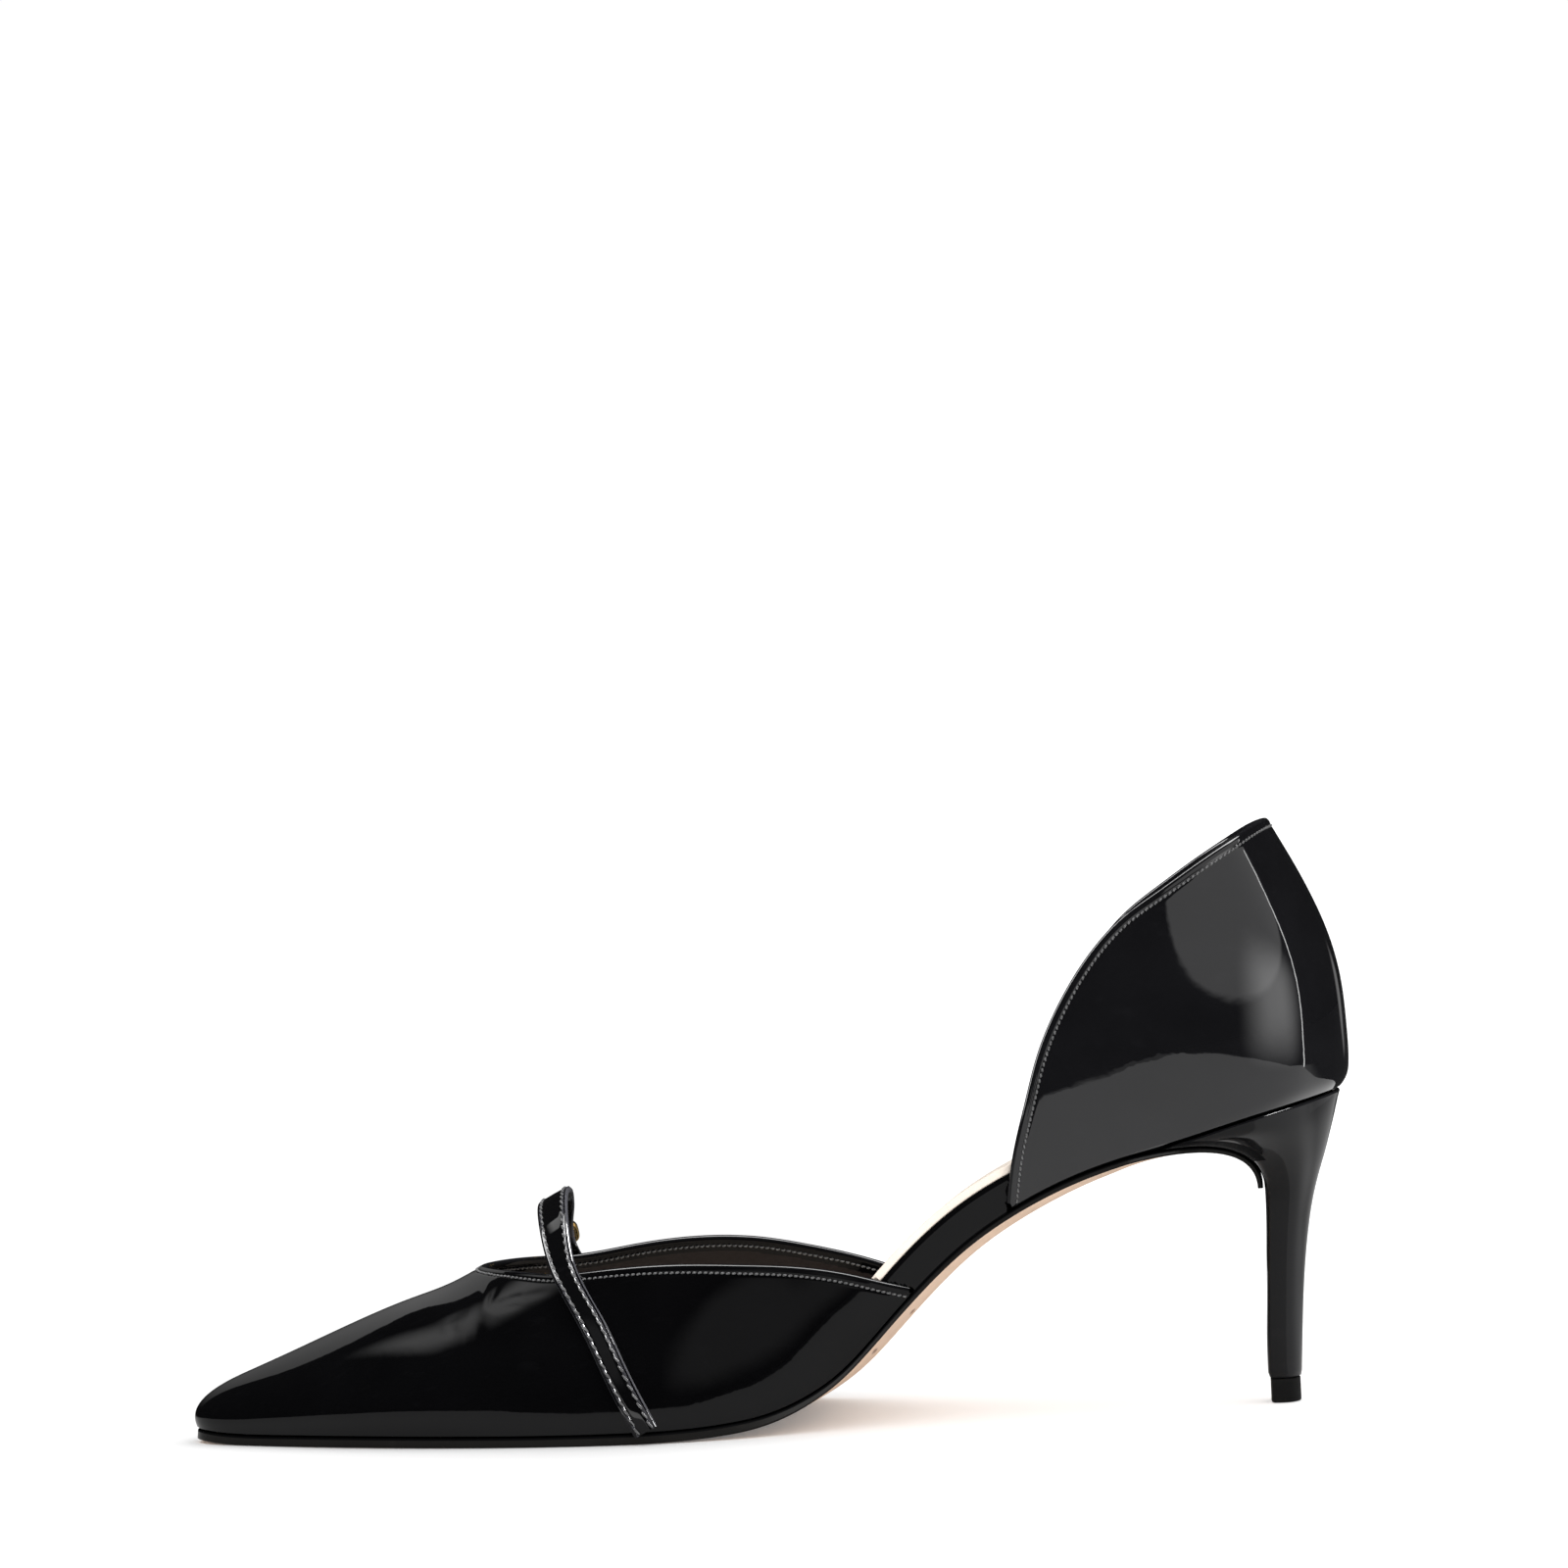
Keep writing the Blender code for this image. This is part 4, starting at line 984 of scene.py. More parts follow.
def stitch_mesh(places, tangents, normals, pitch, thread):
    """Stitches as small arched tubes: a six-sided ring swept over an arc whose ends dip into the skin."""
    along = np.array([-1.0, -0.82, -0.4, 0.0, 0.4, 0.82, 1.0])
    radius = thread / 2 * np.sqrt(1 - 0.8 * along ** 4)
    rise = thread * (0.32 - 0.62 * along ** 2)
    angle = np.linspace(0, 2 * np.pi, 7)[:-1]
    local = np.stack([
        np.broadcast_to(along[:, None] * pitch * 0.42, (7, 6)),
        radius[:, None] * np.cos(angle),
        rise[:, None] + radius[:, None] * np.sin(angle) * 0.85,
    ], axis=-1)
    side = unit(np.cross(normals, tangents))
    slant = math.radians(STITCH_SLANT_DEG)
    ahead = unit(np.cross(side, normals)) * math.cos(slant) + side * math.sin(slant)
    side = unit(np.cross(normals, ahead))
    axes = np.stack([ahead, side, unit(normals)], axis=1)
    points = places[:, None, None] + np.einsum("rak,ski->srai", local, axes)
    ring = grid_faces(7, 6, closed=True)
    caps = [list(range(6))[::-1], list(range(36, 42))]
    starts = np.arange(len(places)) * 42
    quads = (ring[None] + starts[:, None, None]).reshape(-1, 4).tolist()
    ends = [[int(start) + corner for corner in cap] for start in starts for cap in caps]
    return points.reshape(-1, 3), quads + ends


class StitchRows:
    """Collects rows of stitches for one joined mesh."""

    def __init__(self, sizes):
        self.sizes = sizes
        self.points = []
        self.faces = []
        self.count = 0

    def add(self, places, tangents, normals, pitch):
        """Add one row along places."""
        places, tangents, normals = resample([places, tangents, normals], pitch)
        points, faces = stitch_mesh(places, tangents, normals, pitch, self.sizes.thread / MM)
        self.points.append(points)
        self.faces.extend([[corner + self.count for corner in face] for face in faces])
        self.count += len(points)

    def along_edge(self, line, skin, normals):
        """Add the rows below a rolled edge, on the outer face and, through the wall, on the inner one."""
        places = line.points - line.off * self.sizes.stitch_inset / MM
        index, _ = nearest(places, skin)
        facing = normals[index]
        places = places - facing * ((places - skin[index]) * facing).sum(1, keepdims=True)
        pitch = self.sizes.stitch_pitch / MM
        self.add(places, line.tangents, facing, pitch)
        self.add(places - facing * UPPER_WALL, line.tangents, -facing, pitch)

    def along_strap(self, layout, thickness):
        """Add the two rows of a strap, inside its edges."""
        places, normals, across, lift, width = layout
        inset = self.sizes.strap_inset / MM
        keep = width / 2 > inset + 0.6
        tangents = np.gradient(places, axis=0)
        height = (lift + thickness + 0.04)[:, None]
        for side in (-1, 1):
            row = places + across * (side * (width / 2 - inset))[:, None] + normals * height
            self.add(row[keep], tangents[keep], normals[keep], self.sizes.strap_pitch / MM)

    def put(self, name, material):
        """Make the joined mesh."""
        put_mesh(name, np.concatenate(self.points), self.faces, [material], crease_deg=80.0)


# Finishes
def add_node(tree, kind, inputs=None, **settings):
    """New node with its settings; inputs maps a socket to a value, or to another node's socket to link."""
    node = tree.nodes.new(kind)
    for name, value in settings.items():
        setattr(node, name, value)
    for name, value in (inputs or {}).items():
        if isinstance(value, bpy.types.NodeSocket):
            tree.links.new(value, node.inputs[name])
        else:
            node.inputs[name].default_value = value
    return node


def new_group(name, inputs, outputs):
    """Empty shader group with named float, vector or colour sockets."""
    tree = bpy.data.node_groups.new(name, "ShaderNodeTree")
    for in_out, sockets in (("INPUT", inputs), ("OUTPUT", outputs)):
        for socket_name, kind in sockets.items():
            tree.interface.new_socket(socket_name, in_out=in_out, socket_type="NodeSocket" + kind)
    return tree, tree.nodes.new("NodeGroupInput").outputs, tree.nodes.new("NodeGroupOutput").inputs


def math_node(tree, operation, *values):
    """Result of a maths node over values and sockets."""
    return add_node(tree, "ShaderNodeMath", dict(enumerate(values)), operation=operation).outputs[0]


def vector_node(tree, operation, *values):
    """Outputs of a vector maths node over values and sockets."""
    return add_node(tree, "ShaderNodeVectorMath", dict(enumerate(values)), operation=operation).outputs


def split_node(tree, vector):
    """The X, Y and Z of a vector."""
    return add_node(tree, "ShaderNodeSeparateXYZ", {"Vector": vector}).outputs


def noise_node(tree, place, scale, detail, roughness=0.5):
    """Outputs of a noise over a place."""
    inputs = {"Vector": place, "Scale": scale, "Detail": detail, "Roughness": roughness}
    return add_node(tree, "ShaderNodeTexNoise", inputs).outputs


def ramp_node(tree, value, start, end, low=0.0, high=1.0, easing="LINEAR"):
    """Value carried over from the range of start to end to the range of low to high."""
    inputs = {"Value": value, "From Min": start, "From Max": end, "To Min": low, "To Max": high}
    return add_node(tree, "ShaderNodeMapRange", inputs, interpolation_type=easing).outputs[0]


def blend_node(tree, share, first, second):
    """Colour between two, by a share."""
    inputs = {"Factor": share, "A": first, "B": second}
    return add_node(tree, "ShaderNodeMix", inputs, data_type="RGBA").outputs["Result"]


def group_node(tree, group, **inputs):
    """Outputs of a shared group, with its inputs set or linked."""
    return add_node(tree, "ShaderNodeGroup", inputs, node_tree=group).outputs


def grain_group():
    """Leather grain: pebbles from smooth cells bent by noise, with pores, and a slow drift of tone."""
    inputs = {"Vector": "Vector", "Scale": "Float"}
    tree, given, result = new_group("leather_grain", inputs, {"Height": "Float", "Tone": "Float"})
    place = given["Vector"]
    scale = given["Scale"]
    bend = noise_node(tree, place, math_node(tree, "MULTIPLY", scale, 0.35), 2.0)["Color"]
    push = vector_node(tree, "MULTIPLY", bend, (0.0006, 0.0006, 0.0006))[0]
    moved = vector_node(tree, "ADD", place, push)[0]
    cells = add_node(tree, "ShaderNodeTexVoronoi", {"Vector": moved, "Scale": scale, "Smoothness": 0.6},
                     feature="SMOOTH_F1").outputs["Distance"]
    pores = noise_node(tree, place, scale, 4.0)["Fac"]
    sunk = math_node(tree, "MULTIPLY_ADD", cells, -0.7, 0.7)
    tree.links.new(math_node(tree, "MULTIPLY_ADD", pores, 0.35, sunk), result["Height"])
    tree.links.new(noise_node(tree, place, 55.0, 5.0, 0.6)["Fac"], result["Tone"])
    return tree


def polish_group():
    """Polished film: faint orange peel for the bump, and smears that change its gloss."""
    inputs = {"Vector": "Vector", "Clear": "Float", "Smeared": "Float"}
    tree, given, result = new_group("polished_film", inputs, {"Height": "Float", "Roughness": "Float"})
    place = given["Vector"]
    peel = noise_node(tree, place, 420.0, 1.5)["Fac"]
    slow = noise_node(tree, place, 95.0, 1.0)["Fac"]
    stretched = vector_node(tree, "MULTIPLY", place, (1.0, 1.0, 3.0))[0]
    smear = noise_node(tree, stretched, 38.0, 6.0, 0.62)["Fac"]
    rough = ramp_node(tree, smear, 0.45, 0.75, given["Clear"], given["Smeared"])
    tree.links.new(math_node(tree, "MULTIPLY_ADD", peel, 0.25, slow), result["Height"])
    tree.links.new(rough, result["Roughness"])
    return tree


def scuff_group():
    """Wear: broad drift between two colours, and fine streaks along the shoe of a third."""
    inputs = {"Vector": "Vector", "Base": "Color", "Drift": "Color", "Streak": "Color", "Amount": "Float"}
    tree, given, result = new_group("scuffs", inputs, {"Color": "Color"})
    place = given["Vector"]
    broad = noise_node(tree, place, 70.0, 6.0)["Fac"]
    tone = blend_node(tree, ramp_node(tree, broad, 0.35, 0.7), given["Base"], given["Drift"])
    stretched = vector_node(tree, "MULTIPLY", place, (0.16, 1.0, 0.5))[0]
    lines = noise_node(tree, stretched, 900.0, 4.0)["Fac"]
    mask = ramp_node(tree, lines, 0.6, 0.74, 0.0, given["Amount"])
    tree.links.new(blend_node(tree, mask, tone, given["Streak"]), result["Color"])
    return tree


def spot_group():
    """Worn spot: 1 inside a ragged ellipsoid about its middle, falling to 0 at its rim."""
    inputs = {"Vector": "Vector", "Middle": "Vector", "Reach": "Vector"}
    tree, given, result = new_group("worn_spot", inputs, {"Mask": "Float"})
    place = given["Vector"]
    aside = vector_node(tree, "SUBTRACT", place, given["Middle"])[0]
    share = vector_node(tree, "DIVIDE", aside, given["Reach"])[0]
    away = vector_node(tree, "LENGTH", share)["Value"]
    edge = math_node(tree, "ADD", away, noise_node(tree, place, 1500.0, 3.0)["Fac"])
    tree.links.new(ramp_node(tree, edge, 1.35, 0.9), result["Mask"])
    return tree


def rgba(colour, factor=1.0):
    """Colour as four numbers, made lighter or darker by a factor."""
    return tuple(min(part * factor, 1.0) for part in colour) + (1.0,)


def new_finish(name):
    """New material with its tree, its shader and its object coordinates."""
    material = bpy.data.materials.new(name)
    material.use_nodes = True
    tree = material.node_tree
    place = tree.nodes.new("ShaderNodeTexCoord").outputs["Object"]
    return material, tree, tree.nodes["Principled BSDF"], place


def set_inputs(shader, **values):
    """Set constant inputs of a shader; underscores in names stand for spaces."""
    for name, value in values.items():
        shader.inputs[name.replace("_", " ")].default_value = value


def feed(tree, shader, **sockets):
    """Link sockets into a shader's inputs; underscores in names stand for spaces."""
    for name, socket in sockets.items():
        tree.links.new(socket, shader.inputs[name.replace("_", " ")])


def bump(tree, height, strength, distance):
    """Normal from a height, with a strength and a distance in metres."""
    node = add_node(tree, "ShaderNodeBump", {"Height": height, "Strength": strength, "Distance": distance})
    return node.outputs["Normal"]


def two_tone(tree, share, colour, first, second):
    """A colour that goes from one factor of itself to another, by a share."""
    return blend_node(tree, share, rgba(colour, first), rgba(colour, second))


# Depths of the bumps, and the scuffs of the sole, in metres; the film's IOR sets how much patent mirrors
GRAIN_DEPTH = 0.0002
PEEL_DEPTH = 0.0006
TWIST_DEPTH = 0.0001
SOLE_SCUFFS = ((0.030, -0.011, 0.022), (0.0222, -0.0165, 0.015))
SCUFF_REACH = (0.0009, 0.004, 0.002)
SCUFF_BROWN = (0.3, 0.16, 0.09)
FILM_IOR = 1.27


class Finishes:
    """The materials of the shoe, made once from the colours and shared groups."""

    def __init__(self, colours):
        self.grain = grain_group()
        self.film = polish_group()
        self.scuffs = scuff_group()
        self.spot = spot_group()
        self.patent = self.polished("patent", colours.patent, 0.02, 0.07, 0.5)
        self.edge = self.polished("sole_edge_paint", colours.edge, 0.16, 0.3, 0.25)
        self.lining = self.leather("lining_leather", colours.lining, 1500.0, 0.5, 0.4, 0.3)
        self.sock = self.leather("sock_leather", colours.sock, 1900.0, 0.55, 0.32, 0.4)
        self.dyed = self.leather("dyed_leather", colours.patent, 1700.0, 0.6, 0.32, 0.03)
        self.sole = self.sole_leather("sole_leather", colours.sole)
        self.rubber = self.moulded_rubber("tip_rubber", colours.rubber)
        self.gold = self.gilt("gold", colours.gold)
        self.thread = self.waxed_thread("thread", colours.thread)

    def worn(self, tree, place, colour, drift, streak, amount):
        """A colour with its drift and its streaks, each given as a factor of it."""
        return group_node(tree, self.scuffs, Vector=place, Base=rgba(colour), Drift=rgba(colour, drift),
                          Streak=rgba(colour, streak), Amount=amount)["Color"]

    def polished(self, name, colour, clear, smeared, specular):
        """Coated leather: a dark base with faint orange peel and smears in its gloss."""
        material, tree, shader, place = new_finish(name)
        film = group_node(tree, self.film, Vector=place, Clear=clear, Smeared=smeared)
        set_inputs(shader, IOR=FILM_IOR, Specular_IOR_Level=specular)
        feed(tree, shader, Base_Color=self.worn(tree, place, colour, 1.35, 2.2, 0.35),
             Roughness=film["Roughness"], Normal=bump(tree, film["Height"], 0.05, PEEL_DEPTH))
        return material

    def leather(self, name, colour, scale, roughness, strength, specular):
        """Soft leather: grained, with a slow drift of tone."""
        material, tree, shader, place = new_finish(name)
        grain = group_node(tree, self.grain, Vector=place, Scale=scale)
        set_inputs(shader, Specular_IOR_Level=specular)
        feed(tree, shader, Base_Color=two_tone(tree, grain["Tone"], colour, 0.82, 1.16),
             Roughness=ramp_node(tree, grain["Height"], 0.0, 1.0, roughness + 0.12, roughness - 0.08),
             Normal=bump(tree, grain["Height"], strength, GRAIN_DEPTH))
        return material

    def sole_leather(self, name, colour):
        """Tan sole leather: close grain, drift of tone, streaks along the shoe and scuffs at the waist."""
        material, tree, shader, place = new_finish(name)
        grain = group_node(tree, self.grain, Vector=place, Scale=2600.0)
        tone = self.worn(tree, place, colour, 0.86, 0.62, 0.3)
        for middle in SOLE_SCUFFS:
            spot = group_node(tree, self.spot, Vector=place, Middle=middle, Reach=SCUFF_REACH)["Mask"]
            tone = blend_node(tree, spot, tone, rgba(SCUFF_BROWN))
        set_inputs(shader, Specular_IOR_Level=0.35)
        feed(tree, shader, Base_Color=tone, Roughness=ramp_node(tree, grain["Tone"], 0.0, 1.0, 0.62, 0.4),
             Normal=bump(tree, grain["Height"], 0.25, GRAIN_DEPTH))
        return material

    def moulded_rubber(self, name, colour):
        """Matte rubber with a fine moulded texture."""
        material, tree, shader, place = new_finish(name)
        fine = noise_node(tree, place, 3200.0, 3.0)["Fac"]
        set_inputs(shader, Specular_IOR_Level=0.1)
        feed(tree, shader, Base_Color=two_tone(tree, fine, colour, 0.8, 1.3),
             Roughness=ramp_node(tree, fine, 0.0, 1.0, 0.42, 0.62),
             Normal=bump(tree, fine, 0.12, GRAIN_DEPTH))
        return material

    def gilt(self, name, colour):
        """Polished gold-coloured metal with fine rubbing marks."""
        material, tree, shader, place = new_finish(name)
        marks = noise_node(tree, place, 1400.0, 4.0)["Fac"]
        set_inputs(shader, Metallic=1.0)
        feed(tree, shader, Base_Color=two_tone(tree, marks, colour, 0.9, 1.12),
             Roughness=ramp_node(tree, marks, 0.0, 1.0, 0.08, 0.3))
        return material

    def waxed_thread(self, name, colour):
        """Waxed thread: a fine twist in its tone and bump."""
        material, tree, shader, place = new_finish(name)
        twist = add_node(tree, "ShaderNodeTexWave", {"Vector": place, "Scale": 900.0, "Distortion": 3.0},
                         wave_type="BANDS", bands_direction="DIAGONAL").outputs["Fac"]
        feed(tree, shader, Base_Color=two_tone(tree, twist, colour, 0.6, 1.5),
             Roughness=ramp_node(tree, twist, 0.0, 1.0, 0.34, 0.2),
             Normal=bump(tree, twist, 0.3, TWIST_DEPTH))
        return material


made = {}


def finishes(context):
    """The materials, made on first use."""
    if "finishes" not in made:
        made["finishes"] = Finishes(context.scene.pump_colours)
    return made["finishes"]


def stitch_rows(context):
    """The stitches gathered so far."""
    if "stitches" not in made:
        made["stitches"] = StitchRows(context.scene.pump_sizes)
    return made["stitches"]


class PumpSizes(bpy.types.PropertyGroup):
    """Sizes of the edges and seams."""

    stitch_inset: FloatProperty(name="Seam inset", description="Seam below a rolled edge",
                                default=1.25 * MM, unit="LENGTH", precision=5)
    stitch_pitch: FloatProperty(name="Stitch pitch", description="Length of one stitch of the upper",
                                default=1.15 * MM, unit="LENGTH", precision=5)
    strap_inset: FloatProperty(name="Strap seam inset", description="Seam inside the strap's edge",
                               default=1.0 * MM, unit="LENGTH", precision=5)
    strap_pitch: FloatProperty(name="Strap stitch pitch", description="Length of one stitch of the strap",
                               default=2.1 * MM, unit="LENGTH", precision=5)
    thread: FloatProperty(name="Thread", description="Thickness of the thread",
                          default=0.48 * MM, unit="LENGTH", precision=5)
    bead_height: FloatProperty(name="Bead", description="Rise of a rolled edge above the skin",
                               default=0.12 * MM, unit="LENGTH", precision=5)
    seam_depth: FloatProperty(name="Seam depth", description="Depth of the groove under a seam",
                              default=0.16 * MM, unit="LENGTH", precision=5)
    fold: FloatProperty(name="Fold", description="How far the patent turns in over an edge",
                        default=2.8 * MM, unit="LENGTH", precision=5)


class PumpColours(bpy.types.PropertyGroup):
    """Colours of the finishes."""

    patent: FloatVectorProperty(name="Patent", description="Patent leather", subtype="COLOR",
                                default=(0.0022, 0.0022, 0.0025))
    edge: FloatVectorProperty(name="Sole edge", description="Paint on the sole's edge", subtype="COLOR",
                              default=(0.006, 0.0055, 0.005))
    lining: FloatVectorProperty(name="Lining", description="Lining of the upper", subtype="COLOR",
                                default=(0.015, 0.0095, 0.0085))
    sock: FloatVectorProperty(name="Sock", description="Sock on the board", subtype="COLOR",
                              default=(0.95, 0.8, 0.7))
    sole: FloatVectorProperty(name="Sole", description="Bottom of the sole", subtype="COLOR",
                              default=(0.85, 0.62, 0.46))
    rubber: FloatVectorProperty(name="Tip", description="Rubber of the heel tip", subtype="COLOR",
                                default=(0.008, 0.008, 0.008))
    gold: FloatVectorProperty(name="Buckle", description="Metal of the buckle", subtype="COLOR",
                              default=(0.83, 0.58, 0.22))
    thread: FloatVectorProperty(name="Thread", description="Thread of the seams", subtype="COLOR",
                                default=(0.15, 0.15, 0.152))
    floor: FloatVectorProperty(name="Floor", description="Floor of the studio", subtype="COLOR",
                               default=(0.9, 0.9, 0.9))


def put_wall(context, name, node, fold_name, shape, creases, waves, foot_radius):
    """Add a hollow wall of the upper with its relief and folded edge, and gather the seam at that edge."""
    sizes = context.scene.pump_sizes
    looks = finishes(context)
    skin, normals, columns = shape
    line = EdgeLine(skin[columns, -1], normals[columns, -1])
    flat = skin.reshape(-1, 3)
    _, distance = nearest(flat, line.points)
    relief = edge_relief(distance, sizes) + crease_relief(flat, creases) + wave_relief(flat, waves)
    relief = relief.reshape(skin.shape[:2])
    relief += foot_relief(np.linalg.norm(skin - skin[:, :1], axis=-1), foot_radius)
    patches, outer = hollow_wall(skin, normals, line, columns, sizes.fold / MM, relief)
    patches.put(name, [looks.patent, looks.lining], "patent", [node])
    put_loft(fold_name, edge_roll(line), [looks.patent], "patent")
    stitch_rows(context).along_edge(line, outer.reshape(-1, 3), normals.reshape(-1, 3))


class PUMP_OT_vamp(bpy.types.Operator):
    """Add the hollow front of the upper, with its rolled topline, creases and lining"""

    bl_idname = "pump.vamp"
    bl_label = "Add vamp"

    def execute(self, context):
        put_wall(context, "vamp", "upper_vamp", "topline_fold", vamp_skin(), VAMP_CREASES, VAMP_WAVES,
                 VAMP_FOOT_RADIUS)
        return {"FINISHED"}


class PUMP_OT_quarter(bpy.types.Operator):
    """Add the hollow heel cup, with its rolled collar and lining"""

    bl_idname = "pump.quarter"
    bl_label = "Add quarter"

    def execute(self, context):
        put_wall(context, "quarter", "upper_quarter", "collar_fold", quarter_skin(), (), QUARTER_WAVES,
                 QUARTER_FOOT_RADIUS)
        return {"FINISHED"}


class PUMP_OT_bottom(bpy.types.Operator):
    """Add the outsole with its painted edge, the covered board and the sock on it"""

    bl_idname = "pump.bottom"
    bl_label = "Add bottom"

    def execute(self, context):
        looks = finishes(context)
        rings, kind = outsole_rings()
        coats = [looks.dyed, looks.edge, looks.sole]
        coat_of_kind = np.array([0, 1, 2, 0, 1])
        put_loft("outsole_dressed", rings, coats, "sole_leather", ["outsole"], coat_of_kind[kind])
        x = board_stations(FEATHER_TOE + BOARD_SHORT, FEATHER_BACK - BOARD_SHORT)
        z, normal = bottom_frame(x)
        path = np.stack([x, z], axis=1)
        high = board_thickness(x)
        low = np.full_like(x, -GAP)
        rings, kind = slab_rings(path, normal, low, high, board_edges, BOARD_EDGE_RADIUS)
        wall = (kind == 1).astype(int)
        put_loft("board_covered", rings, [looks.dyed, looks.patent], "patent", ["insole_board"], wall)

        def sock_edges(place, height):
            inner, outer = board_edges(place, height, 0.0)
            return inner + SOCK_INSET, outer - SOCK_INSET
        keep = slice(4, -2)
        low = high[keep]
        high = low + GAP + SOCK_THICKNESS
        rings, _ = slab_rings(path[keep], normal[keep], low, high, sock_edges, SOCK_EDGE_RADIUS)
        put_loft("sock", rings, [looks.sock], "sock_leather", ["insole_sock"])
        return {"FINISHED"}


class PUMP_OT_heel(bpy.types.Operator):
    """Add the covered heel and its rubber tip"""

    bl_idname = "pump.heel"
    bl_label = "Add heel"

    def execute(self, context):
        looks = finishes(context)
        rings = heel_rings()
        around = rings.shape[1]
        column_from_front = np.minimum(np.arange(around), around - 1 - np.arange(around))
        hidden = ((column_from_front < 14) & (rings[:-1, :, 2] > BREAST_HEIGHT)).astype(int)
        put_loft("heel_covered", rings, [looks.patent, looks.dyed], "patent", ["heel"], hidden, 35.0)
        put_loft("heel_tip", top_piece_rings(), [looks.rubber], "tip_rubber", ["top_piece"])
        return {"FINISHED"}


class PUMP_OT_strap(bpy.types.Operator):
    """Add the strap and the tab that holds the buckle, with their seams"""

    bl_idname = "pump.strap"
    bl_label = "Add strap"

    def execute(self, context):
        sizes = context.scene.pump_sizes
        looks = finishes(context)
        strap = strap_layout()
        pieces = (("strap_band", "strap", strap, STRAP_THICKNESS),
                  ("tab_band", "strap_tab", tab_layout(), TAB_THICKNESS))
        for name, node, layout, thickness in pieces:
            rings = strap_rings(layout, thickness, sizes)
            put_loft(name, rings, [looks.patent], "patent", [node], crease_deg=60.0)
            stitch_rows(context).along_strap(layout, thickness)
        folds = Patches()
        for side in (-1, 1):
            folds.loft(strap_fold(strap, side))
        folds.put("strap_folds", [looks.patent], "patent")
        return {"FINISHED"}


class PUMP_OT_buckle(bpy.types.Operator):
    """Add the small gold buckle: a frame of round wire and its prong"""

    bl_idname = "pump.buckle"
    bl_label = "Add buckle"

    def execute(self, context):
        looks = finishes(context)
        middle, along, across, normal = buckle_place()
        angle = np.linspace(0, 2 * np.pi, 97)

        def squared(wave):
            return np.sign(wave) * np.abs(wave) ** 0.45
        run = squared(np.cos(angle)) * (BUCKLE_LENGTH - BUCKLE_WIRE) / 2
        spread = squared(np.sin(angle)) * (BUCKLE_WIDTH - BUCKLE_WIRE) / 2
        path = middle + run[:, None] * along + spread[:, None] * across
        wire = Patches()
        wire.grid(tube(path, BUCKLE_WIRE / 2, unit(path - middle), normal), closed=True)
        wire.put("buckle_wire", [looks.gold], "gold", ["buckle_frame"])
        thick = BUCKLE_WIRE * 0.8
        start = middle - along * (BUCKLE_LENGTH / 2 - BUCKLE_WIRE - GAP)
        reach = np.linspace(0, BUCKLE_LENGTH - BUCKLE_WIRE * 1.4, 24)
        rise = (BUCKLE_WIRE / 2 + GAP + thick / 2) * smooth_step(0.4, BUCKLE_LENGTH * 0.5, reach)
        spine = start + reach[:, None] * along + rise[:, None] * normal
        taper = thick / 2 * np.sqrt(1 - (np.linspace(-1, 1, 24) * 0.96) ** 8)
        rings = tube(spine, taper, np.broadcast_to(across, spine.shape), normal)
        put_loft("buckle_pin", rings, [looks.gold], "gold", ["buckle_prong"])
        return {"FINISHED"}


class PUMP_OT_stitches(bpy.types.Operator):
    """Add all stitches gathered by the upper and the straps as one joined mesh"""

    bl_idname = "pump.stitches"
    bl_label = "Add stitches"

    def execute(self, context):
        stitch_rows(context).put("stitches", finishes(context).thread)
        return {"FINISHED"}


# Studio
CAMERA_AZIMUTH = 5.0
CAMERA_ELEVATION = 4.5
CAMERA_ROLL = 2.7
CAMERA_DISTANCE = 1164.0
CAMERA_LENS = 128.4
CAMERA_TARGET = np.array([3.3, 0.0, 60.1])
PICTURE_SIZE = 1600.0
TARGET_PIXEL = (789.0, 1153.0)
SENSOR = 36.0
FLOOR_HALF = 6.0
FLOOR_DROP = 0.00005
SKY_STRENGTH = 2.9
SKY_SPREAD_DEG = 110.0
WORLD_SOFT = 0.35
WORLD_GLOSS = 0.012

